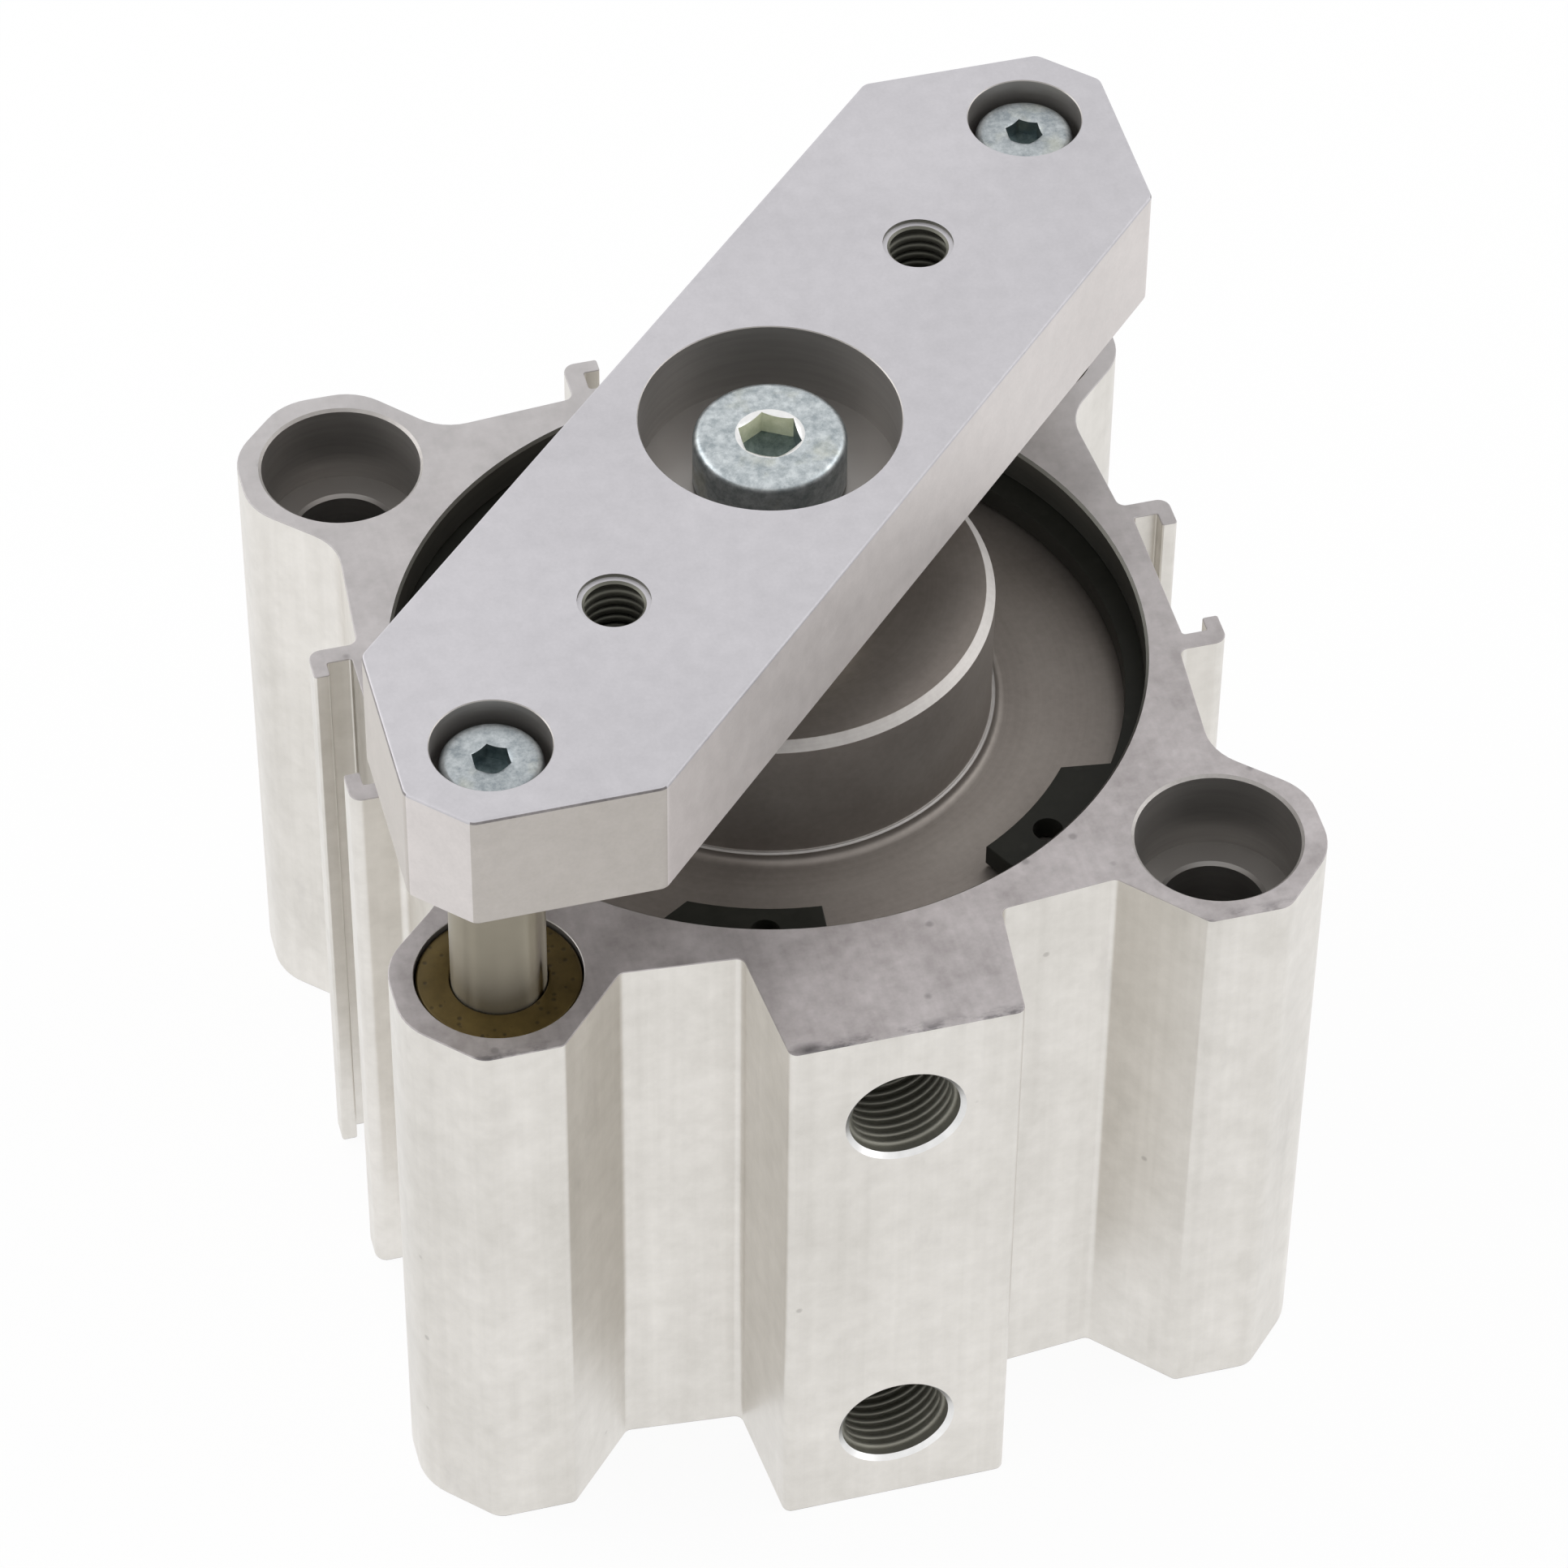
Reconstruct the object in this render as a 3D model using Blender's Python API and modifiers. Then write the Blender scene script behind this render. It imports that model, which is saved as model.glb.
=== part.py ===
"""Double-acting short stroke cylinder with a guided plate.

An extruded aluminium body holds a piston between two covers, and each cover is kept in by a
retaining ring. The piston rod comes out through a raised hub on the front cover. A plate is
screwed to the rod's end and to two guide rods, which slide in bushes in two corners of the body,
so the plate can't turn. The other two corners hold the mounting holes.
The rod's axis is vertical, and the model stands at rest with the rod retracted.
"""
import math

import bmesh
import bpy
from mathutils import Vector

for leftover in list(bpy.data.objects):
    bpy.data.objects.remove(leftover, do_unlink=True)

MM = 0.001

# Bore and stroke
STROKE = 10.0 * MM
BORE_RADIUS = 31.5 * MM

# Clearances
SEAT_GAP = 0.3 * MM
FIT_GAP = 0.15 * MM
SLIDE_GAP = 0.1 * MM
CUT_OVERRUN = 2.0 * MM

# Steps in the ends of the bore: the covers' seat and the retaining rings' groove
COVER_STEP = 1.1 * MM
RING_GROOVE_DEPTH = 1.1 * MM
COVER_SEAT_RADIUS = BORE_RADIUS + COVER_STEP
RING_GROOVE_RADIUS = COVER_SEAT_RADIUS + RING_GROOVE_DEPTH

# Mounting holes in the back left and front right corners
COUNTERBORE_RADIUS = 7.05 * MM
COUNTERBORE_DEPTH = 8.2 * MM
THROUGH_RADIUS = 4.5 * MM
THROUGH_CHAMFER = 0.3 * MM
CORNER_WEB = 3.09 * MM
HOLE_PITCH = math.sqrt(2.0) * (RING_GROOVE_RADIUS + CORNER_WEB + COUNTERBORE_RADIUS)

# Body section: walls round the corner holes, and between them and the slots
BOSS_WALL = 1.95 * MM
CORNER_WALL = 1.79 * MM
BOSS_FLAT_PAST_HOLE = 3.4 * MM
BOSS_FLANK_RUN = 6.3 * MM
MIDDLE_WALL = 0.6 * MM
WALL_TAPER = 0.9 * MM
EDGE_RADIUS = 0.8 * MM
CHAMFER_EDGE_RADIUS = 2.0 * MM
BOSS_EDGE_RADIUS = 5.5 * MM
BOSS_FOOT_RADIUS = 5.0 * MM
RIM_CHAMFER = 0.3 * MM
CORNER = HOLE_PITCH / 2
BODY_HALF = CORNER + COUNTERBORE_RADIUS + BOSS_WALL
CORNER_TO_CHAMFER = math.sqrt(2.0) * (COUNTERBORE_RADIUS + CORNER_WALL)
CORNER_CHAMFER = 2 * (BODY_HALF - CORNER) - CORNER_TO_CHAMFER
BOSS_FLAT_START = CORNER - BOSS_FLAT_PAST_HOLE
WALL_AT_MIDDLE = RING_GROOVE_RADIUS + MIDDLE_WALL
WALL_AT_BOSS = WALL_AT_MIDDLE - WALL_TAPER

# Sensor slots on three sides
SLOT_FLOOR_WALL = 1.4 * MM
SLOT_DEPTH = 3.6 * MM
SLOT_HALF_WIDTH = 7.4 * MM
SLOT_UNDERCUT = 1.5 * MM
SLOT_LIP_WALL = 1.7 * MM
SLOT_HOOK = 1.4 * MM
SLOT_LIP_RADIUS = 1.1 * MM
SLOT_FLOOR = RING_GROOVE_RADIUS + SLOT_FLOOR_WALL
SLOT_OUTER = SLOT_FLOOR + SLOT_DEPTH
SLOT_MOUTH_HALF = SLOT_HALF_WIDTH - SLOT_UNDERCUT

# Port block on the fourth side
PORT_BLOCK_RISE = 5.7 * MM
PORT_BLOCK_HALF = 10.0 * MM
PORT_BLOCK_TAPER = 1.1 * MM
PORT_CORE_RADIUS = 4.4 * MM
PORT_FLOOR_WALL = 1.5 * MM
PORT_COUNTERSINK = 0.5 * MM
FRONT_PORT_PAST_SHOULDER = 0.5 * MM
REAR_PORT_PAST_SHOULDER = 1.3 * MM
PASSAGE_RADIUS = 1.5 * MM
PASSAGE_SHIFT = 2.9 * MM
PORT_FACE = BODY_HALF + PORT_BLOCK_RISE
PORT_FLOOR = RING_GROOVE_RADIUS + PORT_FLOOR_WALL

# Covers, in recesses at both ends of the bore
COVER_RECESS = 6.0 * MM
COVER_FLANGE = 5.0 * MM
COVER_SPIGOT = 4.0 * MM
SPIGOT_CLEARANCE = 1.5 * MM
COVER_RELIEF_RADIUS = 22.0 * MM
COVER_RELIEF_DEPTH = 1.5 * MM
O_RING_GROOVE_DEPTH = 2.6 * MM
O_RING_SIDE_PLAY = 0.2 * MM
COVER_SPIGOT_RADIUS = BORE_RADIUS - SPIGOT_CLEARANCE
O_RING_GROOVE_ROOT = COVER_SEAT_RADIUS - O_RING_GROOVE_DEPTH
O_RING_CORD_RADIUS = (O_RING_GROOVE_DEPTH - SLIDE_GAP - SEAT_GAP) / 2
O_RING_GROOVE_WIDTH = 2 * (O_RING_CORD_RADIUS + O_RING_SIDE_PLAY)

# Retaining rings
RING_THICKNESS = 2.2 * MM
RING_GROOVE_PLAY = 0.2 * MM
RING_SLACK = 0.25 * MM
RING_WIDTH = 2.85 * MM
RING_ECCENTRICITY = 0.7 * MM
RING_GAP_HALF = math.radians(16.5)
RING_GAP_DIRECTION = math.radians(-78.5)
LUG_WIDTH = 6.15 * MM
LUG_SPAN = math.radians(24.0)
LUG_SHOULDER = math.radians(4.0)
LUG_HOLE_RADIUS = 1.3 * MM
LUG_HOLE_FROM_TIP = 2.6 * MM
LUG_HOLE_ANGLE = math.radians(10.0)
RING_OUTER_RADIUS = RING_GROOVE_RADIUS - RING_SLACK
RING_INNER_RADIUS = RING_OUTER_RADIUS - RING_WIDTH
LUG_RADIUS = RING_OUTER_RADIUS - LUG_WIDTH
LUG_HOLE_AT = LUG_RADIUS + LUG_HOLE_FROM_TIP

# Low head screws: thread radius, head radius, head height, socket width, shank length
CENTRE_SCREW = (3.9 * MM, 6.5 * MM, 5.0 * MM, 5.0 * MM, 20.0 * MM)
GUIDE_SCREW = (2.4 * MM, 4.25 * MM, 3.5 * MM, 3.0 * MM, 16.0 * MM)
PISTON_SCREW = (3.9 * MM, 6.5 * MM, 5.0 * MM, 5.0 * MM, 16.0 * MM)
SCREW_HOLE_GAP = 0.35 * MM
THREAD_GAP = 0.2 * MM
THREAD_RUNOUT = 1.4 * MM
SOCKET_SHARE = 0.62

# Piston rod, with two wrench flats and a spigot through the piston
ROD_RADIUS = 8.0 * MM
ROD_PROTRUSION = 7.5 * MM
ROD_CHAMFER = 0.5 * MM
ROD_SPIGOT_WALL = 1.4 * MM
ROD_O_RING_CORD_RADIUS = 0.8 * MM
WRENCH_FLAT_DEPTH = 1.5 * MM
WRENCH_BELOW_PLATE = 1.2 * MM
WRENCH_ABOVE_HUB = 1.3 * MM
ROD_SPIGOT_RADIUS = PISTON_SCREW[0] + THREAD_GAP + ROD_SPIGOT_WALL
ROD_O_RING_GROOVE_RADIUS = ROD_SPIGOT_RADIUS + 2 * (ROD_O_RING_CORD_RADIUS + SEAT_GAP)
ROD_O_RING_GROOVE_DEPTH = 2 * ROD_O_RING_CORD_RADIUS + SEAT_GAP

# Front hub, with the rod's bush and seal
HUB_WALL = 11.4 * MM
HUB_RISE = 7.8 * MM
HUB_CHAMFER = 0.8 * MM
HUB_FOOT_STEP = 0.35 * MM
HUB_FOOT_FILLET = 1.0 * MM
BUSH_WALL = 1.5 * MM
BUSH_SINK = 1.0 * MM
SEAL_WEB = 1.5 * MM
SEAL_WEB_CLEARANCE = 0.5 * MM
SEAL_WIDTH = 2.4 * MM
SEAL_HEIGHT = 6.0 * MM
SEAL_BELOW_HUB = 0.4 * MM
SEAL_WALL = 0.7 * MM
SEAL_CUP_DEPTH = 2.0 * MM
HUB_RADIUS = ROD_RADIUS + HUB_WALL
HUB_FOOT_RADIUS = HUB_RADIUS + HUB_FOOT_STEP
SEAL_WEB_RADIUS = ROD_RADIUS + SEAL_WEB_CLEARANCE
SEAL_SEAT_RADIUS = ROD_RADIUS + SEAL_WIDTH

# Piston
PISTON_CLEARANCE = 0.3 * MM
PISTON_EDGE = 0.6 * MM
PISTON_WEB = 2.0 * MM
PISTON_END_WALL = 1.6 * MM
PISTON_SEAL_DEPTH = 4.2 * MM
PISTON_SEAL_GROOVE = 3.4 * MM
PISTON_SEAL_WALL = 1.2 * MM
BUMPER_PROUD = 1.4 * MM
BUMPER_WIDTH = 4.5 * MM
BUMPER_FROM_SEAL = 3.5 * MM
BUMPER_GROOVE_DEPTH = 1.7 * MM
BUMPER_EDGE = 0.5 * MM
MAGNET_BELOW_RIM = 2.6 * MM
MAGNET_WIDTH = 3.8 * MM
MAGNET_HEIGHT = 3.4 * MM
SPIGOT_PAST_MIDDLE = 0.7 * MM
PISTON_SCREW_WEB = 2.0 * MM
POCKET_GAP = 0.45 * MM
PISTON_RADIUS = BORE_RADIUS - PISTON_CLEARANCE
PISTON_SEAL_ROOT = PISTON_RADIUS - PISTON_SEAL_DEPTH
BUMPER_OUTER = PISTON_SEAL_ROOT - BUMPER_FROM_SEAL
BUMPER_INNER = BUMPER_OUTER - BUMPER_WIDTH
MAGNET_OUTER = PISTON_RADIUS - MAGNET_BELOW_RIM
MAGNET_INNER = MAGNET_OUTER - MAGNET_WIDTH
GUIDE_RING_INNER = MAGNET_OUTER + SEAT_GAP
MAGNET_POCKET_HALF = MAGNET_HEIGHT / 2 + SEAT_GAP
SEAL_GROOVE_NEAR = MAGNET_POCKET_HALF + PISTON_WEB
SEAL_GROOVE_FAR = SEAL_GROOVE_NEAR + PISTON_SEAL_GROOVE
PISTON_THICKNESS = 2 * (SEAL_GROOVE_FAR + PISTON_END_WALL)

# Guide plate
PLATE_THICKNESS = 12.0 * MM
PLATE_INSET = 1.1 * MM
PLATE_SIDE_WALL = 3.31 * MM
PLATE_END_WALL = 3.03 * MM
PLATE_CORNER_RADIUS = 1.2 * MM
PLATE_EDGE = 0.3 * MM
PLATE_COUNTERBORE_RADIUS = 11.04 * MM
PLATE_CENTRE_WEB = 4.8 * MM
PLATE_GUIDE_WEB = 6.7 * MM
PLATE_SOCKET_DEPTH = 1.0 * MM
SCREW_HEAD_GAP = 0.71 * MM
TOOL_HOLE_RADIUS = 2.5 * MM
TOOL_HOLE_SPACING = 50.0 * MM
TOOL_HOLE_CHAMFER = 0.4 * MM
SCREW_COUNTERBORE_RADIUS = GUIDE_SCREW[1] + SCREW_HEAD_GAP
PLATE_HALF = BODY_HALF - PLATE_INSET
PLATE_BAND_HALF = PLATE_COUNTERBORE_RADIUS + PLATE_SIDE_WALL
PLATE_TO_CHAMFER = math.sqrt(2.0) * (SCREW_COUNTERBORE_RADIUS + PLATE_END_WALL)
PLATE_CORNER_CHAMFER = 2 * (PLATE_HALF - CORNER) - PLATE_TO_CHAMFER

# Guide rods and their bushes
GUIDE_ROD_RADIUS = 4.0 * MM
GUIDE_ROD_CHAMFER = 0.6 * MM
GUIDE_ROD_FOOT = 1.0 * MM
GUIDE_ROD_PASSAGE_GAP = 0.5 * MM
GUIDE_SOCKET_DEPTH = 1.5 * MM
GUIDE_BUSH_SINK = 0.4 * MM
GUIDE_BUSH_MOUTH = 0.2 * MM
UPPER_BUSH_LENGTH = 22.0 * MM
LOWER_BUSH_LENGTH = 18.0 * MM

# Steps round a full turn, from the bore down to the smallest holes
BORE_STEPS = 44
COVER_STEPS = 36
PISTON_STEPS = 24
SMALL_STEPS = 18
TINY_STEPS = 12
CORD_STEPS = 5
CORNER_STEPS = 2
RING_STEPS = 30
SHARP_ANGLE = math.radians(32.0)
WELD_DISTANCE = 0.001 * MM

# Heights along the axis, from the rear face up
REAR_COVER_FACE = COVER_RECESS
REAR_SHOULDER = REAR_COVER_FACE + COVER_FLANGE
CHAMBER_LOW = REAR_SHOULDER + COVER_SPIGOT
PISTON_LOW = CHAMBER_LOW + SEAT_GAP + BUMPER_PROUD
PISTON_MIDDLE = PISTON_LOW + PISTON_THICKNESS / 2
PISTON_HIGH = PISTON_LOW + PISTON_THICKNESS
CHAMBER_HIGH = PISTON_HIGH + BUMPER_PROUD + STROKE + SEAT_GAP
FRONT_SHOULDER = CHAMBER_HIGH + COVER_SPIGOT
FRONT_COVER_FACE = FRONT_SHOULDER + COVER_FLANGE
BODY_HEIGHT = FRONT_COVER_FACE + COVER_RECESS
HUB_TOP = BODY_HEIGHT + HUB_RISE
PLATE_LOW = HUB_TOP + ROD_PROTRUSION
PLATE_HIGH = PLATE_LOW + PLATE_THICKNESS
CENTRE_SCREW_SEAT = PLATE_LOW + PLATE_CENTRE_WEB
GUIDE_SCREW_SEAT = PLATE_LOW + PLATE_GUIDE_WEB

# The overall box is centred on the origin, so the axis stands off it towards the back
AXIS_Y = (PORT_FACE - BODY_HALF) / 2
GUIDE_CORNERS = {"front_left": (-CORNER, -CORNER), "back_right": (CORNER, CORNER)}
MOUNTING_CORNERS = {"back_left": (-CORNER, CORNER), "front_right": (CORNER, -CORNER)}

parts = bpy.data.collections.new("short_stroke_cylinder")
cutters = bpy.data.collections.new("cutters")
bpy.context.scene.collection.children.link(parts)
bpy.context.scene.collection.children.link(cutters)


def make_empty(name):
    """An empty on the rod's axis, which its pieces hang from."""
    empty = bpy.data.objects.new(name, None)
    empty.location = (0.0, AXIS_Y, 0.0)
    parts.objects.link(empty)
    return empty


cylinder_axis = make_empty("cylinder_axis")
stroke_slide = make_empty("stroke_slide")


def make_material(name, colour, metallic, roughness):
    material = bpy.data.materials.new(name)
    material.use_nodes = True
    shader = material.node_tree.nodes["Principled BSDF"]
    shader.inputs["Base Color"].default_value = (*colour, 1.0)
    shader.inputs["Metallic"].default_value = metallic
    shader.inputs["Roughness"].default_value = roughness
    return material


anodised = make_material("anodised_aluminium", (0.72, 0.71, 0.68), 0.6, 0.5)
plate_finish = make_material("milled_aluminium", (0.66, 0.64, 0.66), 0.6, 0.42)
cover_finish = make_material("grey_anodised_aluminium", (0.2, 0.18, 0.17), 0.6, 0.45)
turned_aluminium = make_material("turned_aluminium", (0.62, 0.62, 0.63), 0.9, 0.35)
spring_steel = make_material("phosphated_spring_steel", (0.02, 0.02, 0.02), 0.4, 0.5)
rod_steel = make_material("polished_rod_steel", (0.62, 0.62, 0.6), 1.0, 0.12)
zinc_steel = make_material("zinc_plated_steel", (0.66, 0.7, 0.72), 0.9, 0.3)
bronze = make_material("sintered_bronze", (0.2, 0.14, 0.06), 0.7, 0.5)
seal_rubber = make_material("nitrile_rubber", (0.02, 0.02, 0.02), 0.0, 0.6)
bumper_rubber = make_material("polyurethane", (0.3, 0.24, 0.1), 0.0, 0.5)
magnet_compound = make_material("bonded_magnet", (0.08, 0.07, 0.07), 0.2, 0.6)
guide_plastic = make_material("bearing_plastic", (0.12, 0.1, 0.08), 0.0, 0.5)


def add_object(name, mesh, material, parent, is_cutter=False):
    """Puts a mesh in the scene, on the axis that its parent empty stands for."""
    piece = bpy.data.objects.new(name, mesh)
    piece.parent = parent
    if is_cutter:
        cutters.objects.link(piece)
        piece.hide_render = True
        piece.display_type = "WIRE"
    else:
        parts.objects.link(piece)
        mesh.materials.append(material)
    return piece


def finish(piece):
    """Applies a piece's modifiers and shades its round faces smooth."""
    bpy.context.view_layer.update()
    graph = bpy.context.evaluated_depsgraph_get()
    mesh = bpy.data.meshes.new_from_object(piece.evaluated_get(graph))
    piece.modifiers.clear()
    piece.data = mesh
    mesh.name = piece.name
    mesh.shade_smooth()
    mesh.set_sharp_from_angle(angle=SHARP_ANGLE)
    return piece


def turn(name, profile, facets, material=None, parent=None, at=(0.0, 0.0), is_cutter=False):
    """Turns a profile of (radius, height) points about its own upright axis.

    The points run down the outer side. A profile that starts and ends on the axis is a solid,
    and any other is closed into a ring.
    """
    mesh = bpy.data.meshes.new(name)
    count = len(profile)
    edges = [(i, i + 1) for i in range(count - 1)]
    is_ring = profile[0][0] > 0.0 or profile[-1][0] > 0.0
    if is_ring:
        edges.append((count - 1, 0))
    mesh.from_pydata([(radius, 0.0, height) for radius, height in profile], edges, [])
    piece = add_object(name, mesh, material, parent or cylinder_axis, is_cutter)
    piece.location = (at[0], at[1], 0.0)
    screw = piece.modifiers.new("turn", "SCREW")
    screw.steps = facets
    screw.render_steps = facets
    screw.use_merge_vertices = True
    screw.merge_threshold = WELD_DISTANCE
    return piece


def round_corners(points):
    """Rounds the corners of a closed outline of (x, y, radius) points."""
    outline = []
    for index, (x, y, radius) in enumerate(points):
        corner = Vector((x, y))
        if radius == 0.0:
            outline.append(corner)
            continue
        before = (Vector(points[index - 1][:2]) - corner).normalized()
        after = (Vector(points[(index + 1) % len(points)][:2]) - corner).normalized()
        half = before.angle(after) / 2
        centre = corner + (before + after).normalized() * radius / math.sin(half)
        start = corner + before * radius / math.tan(half) - centre
        end = corner + after * radius / math.tan(half) - centre
        first = math.atan2(start.y, start.x)
        sweep = (math.atan2(end.y, end.x) - first + math.pi) % math.tau - math.pi
        for step in range(CORNER_STEPS + 1):
            angle = first + sweep * step / CORNER_STEPS
            outline.append(centre + radius * Vector((math.cos(angle), math.sin(angle))))
    return outline


def make_one_face(shape, level):
    """Joins the triangles of a flat end into one face, which cuts more cleanly."""
    end = [f for f in shape.faces if all(abs(v.co.z - level) < WELD_DISTANCE for v in f.verts)]
    bmesh.ops.dissolve_faces(shape, faces=end)


def extrude(name, outlines, low, high, material=None, parent=None, is_cutter=False):
    """Extrudes flat outlines between two heights. Outlines inside the first are its holes."""
    curve = bpy.data.curves.new(name, "CURVE")
    curve.dimensions = "2D"
    curve.fill_mode = "BOTH"
    curve.extrude = (high - low) / 2
    for outline in outlines:
        spline = curve.splines.new("POLY")
        spline.points.add(len(outline) - 1)
        for point, place in zip(spline.points, outline):
            point.co = (place[0], place[1], 0.0, 1.0)
        spline.use_cyclic_u = True
    drawing = bpy.data.objects.new(name, curve)
    parts.objects.link(drawing)
    bpy.context.view_layer.update()
    graph = bpy.context.evaluated_depsgraph_get()
    mesh = bpy.data.meshes.new_from_object(drawing.evaluated_get(graph))
    bpy.data.objects.remove(drawing, do_unlink=True)
    weld = bmesh.new()
    weld.from_mesh(mesh)
    bmesh.ops.remove_doubles(weld, verts=weld.verts, dist=WELD_DISTANCE)
    bmesh.ops.translate(weld, verts=weld.verts, vec=(0.0, 0.0, (low + high) / 2))
    if len(outlines) == 1:
        for level in (low, high):
            make_one_face(weld, level)
    bmesh.ops.recalc_face_normals(weld, faces=weld.faces)
    weld.to_mesh(mesh)
    weld.free()
    return add_object(name, mesh, material, parent or cylinder_axis, is_cutter)


def cut(piece, cutter):
    difference = piece.modifiers.new(cutter.name, "BOOLEAN")
    difference.operation = "DIFFERENCE"
    difference.solver = "EXACT"
    difference.object = cutter


def circle(centre, radius, facets):
    """The points of a circle, as an outline."""
    angles = [math.tau * step / facets for step in range(facets)]
    return [(centre[0] + radius * math.cos(a), centre[1] + radius * math.sin(a)) for a in angles]


def hexagon_radius(width):
    """From a hexagon's width across flats to its radius over the corners."""
    return width / math.sqrt(3.0)


def drilled_face(radius, chamfer, face, up):
    """The two profile points of a chamfered hole mouth, run on past the face by the overrun."""
    mouth = (radius + chamfer + CUT_OVERRUN, face + up * CUT_OVERRUN)
    return [mouth, (radius, face - up * chamfer)]


# Cylinder body

def side_middle(has_port_block):
    """The middle of one side of the section, as (along, out, radius) points on its left half."""
    if has_port_block:
        foot = PORT_BLOCK_HALF + PORT_BLOCK_TAPER
        return [(-foot, WALL_AT_MIDDLE, EDGE_RADIUS), (-PORT_BLOCK_HALF, PORT_FACE, EDGE_RADIUS)]
    lip = SLOT_HALF_WIDTH + SLOT_LIP_WALL
    hook = SLOT_OUTER - SLOT_HOOK
    return [
        (-lip, WALL_AT_MIDDLE, EDGE_RADIUS),
        (-lip, SLOT_OUTER, SLOT_LIP_RADIUS),
        (-SLOT_MOUTH_HALF, SLOT_OUTER, 0.0),
        (-SLOT_MOUTH_HALF, hook, 0.0),
        (-SLOT_HALF_WIDTH, hook, 0.0),
        (-SLOT_HALF_WIDTH, SLOT_FLOOR, 0.0),
    ]


def body_section():
    """The extrusion's outline: four corner bosses, three sensor slots and the port block.

    The bosses are rounded towards the slots and nearly sharp beside the port block.
    """
    section = []
    for quarter in range(4):
        has_port_block = quarter == 0
        if has_port_block:
            chamfer_edge, flat_edge, foot = CHAMFER_EDGE_RADIUS, EDGE_RADIUS, EDGE_RADIUS
        else:
            chamfer_edge, flat_edge, foot = BOSS_EDGE_RADIUS, BOSS_EDGE_RADIUS, BOSS_FOOT_RADIUS
        left = [
            (-(BODY_HALF - CORNER_CHAMFER), BODY_HALF, chamfer_edge),
            (-BOSS_FLAT_START, BODY_HALF, flat_edge),
            (-(BOSS_FLAT_START - BOSS_FLANK_RUN), WALL_AT_BOSS, foot),
        ]
        left += side_middle(has_port_block)
        right = [(-along, out, radius) for along, out, radius in reversed(left)]
        turned = quarter * math.pi / 2
        for along, out, radius in left + right:
            x = along * math.cos(turned) + out * math.sin(turned)
            y = along * math.sin(turned) - out * math.cos(turned)
            section.append((x, y, radius))
    return round_corners(section)


def bore_profile():
    """The bore with its cover seats, ring grooves and chamfered ends, down the outer side."""
    groove = RING_THICKNESS + 2 * RING_GROOVE_PLAY
    ring_low = FRONT_COVER_FACE + SEAT_GAP - RING_GROOVE_PLAY
    half = drilled_face(COVER_SEAT_RADIUS, RIM_CHAMFER, BODY_HEIGHT, 1) + [
        (COVER_SEAT_RADIUS, ring_low + groove),
        (RING_GROOVE_RADIUS, ring_low + groove),
        (RING_GROOVE_RADIUS, ring_low),
        (COVER_SEAT_RADIUS, ring_low),
        (COVER_SEAT_RADIUS, FRONT_SHOULDER),
        (BORE_RADIUS, FRONT_SHOULDER),
    ]
    other_half = [(radius, BODY_HEIGHT - height) for radius, height in reversed(half)]
    return [(0.0, half[0][1])] + half + other_half + [(0.0, other_half[-1][1])]


def mounting_hole_profile():
    """A through hole for a cap screw, counterbored from both faces."""
    upper = drilled_face(COUNTERBORE_RADIUS, RIM_CHAMFER, BODY_HEIGHT, 1) + [
        (COUNTERBORE_RADIUS, BODY_HEIGHT - COUNTERBORE_DEPTH),
        (THROUGH_RADIUS + THROUGH_CHAMFER, BODY_HEIGHT - COUNTERBORE_DEPTH),
        (THROUGH_RADIUS, BODY_HEIGHT - COUNTERBORE_DEPTH - THROUGH_CHAMFER),
    ]
    lower = [(radius, BODY_HEIGHT - height) for radius, height in reversed(upper)]
    return [(0.0, upper[0][1])] + upper + lower + [(0.0, lower[-1][1])]


UPPER_BUSH_LOW = BODY_HEIGHT - GUIDE_BUSH_SINK - UPPER_BUSH_LENGTH
LOWER_BUSH_HIGH = GUIDE_BUSH_SINK + LOWER_BUSH_LENGTH


def guide_hole_profile():
    """A through hole that takes a bush from each face."""
    upper_floor = UPPER_BUSH_LOW - SEAT_GAP
    lower_floor = LOWER_BUSH_HIGH + SEAT_GAP
    passage = GUIDE_ROD_RADIUS + GUIDE_ROD_PASSAGE_GAP
    top = drilled_face(COUNTERBORE_RADIUS, RIM_CHAMFER, BODY_HEIGHT, 1)
    bottom = drilled_face(COUNTERBORE_RADIUS, RIM_CHAMFER, 0.0, -1)
    middle = [
        (COUNTERBORE_RADIUS, upper_floor),
        (passage, upper_floor),
        (passage, lower_floor),
        (COUNTERBORE_RADIUS, lower_floor),
    ]
    bottom.reverse()
    return [(0.0, top[0][1])] + top + middle + bottom + [(0.0, bottom[-1][1])]


def cut_port(body, name, height, towards_chamber):
    """A tapped port in the port block, with a passage on its chamber side into the bore."""
    profile = [(0.0, PORT_FACE + CUT_OVERRUN)]
    profile += drilled_face(PORT_CORE_RADIUS, PORT_COUNTERSINK, PORT_FACE, 1)
    profile += [(PORT_CORE_RADIUS, PORT_FLOOR), (0.0, PORT_FLOOR - PORT_CORE_RADIUS / 4)]
    port = turn(name, profile, SMALL_STEPS, is_cutter=True)
    port.rotation_euler = (math.pi / 2, 0.0, 0.0)
    port.location = (0.0, 0.0, height)
    cut(body, port)
    far = PORT_FLOOR + CUT_OVERRUN
    near = BORE_RADIUS - CUT_OVERRUN
    drilling = [(0.0, far), (PASSAGE_RADIUS, far), (PASSAGE_RADIUS, near), (0.0, near)]
    passage = turn(name + "_passage", drilling, TINY_STEPS, is_cutter=True)
    passage.rotation_euler = (math.pi / 2, 0.0, 0.0)
    passage.location = (0.0, 0.0, height + towards_chamber * PASSAGE_SHIFT)
    cut(body, passage)


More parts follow.
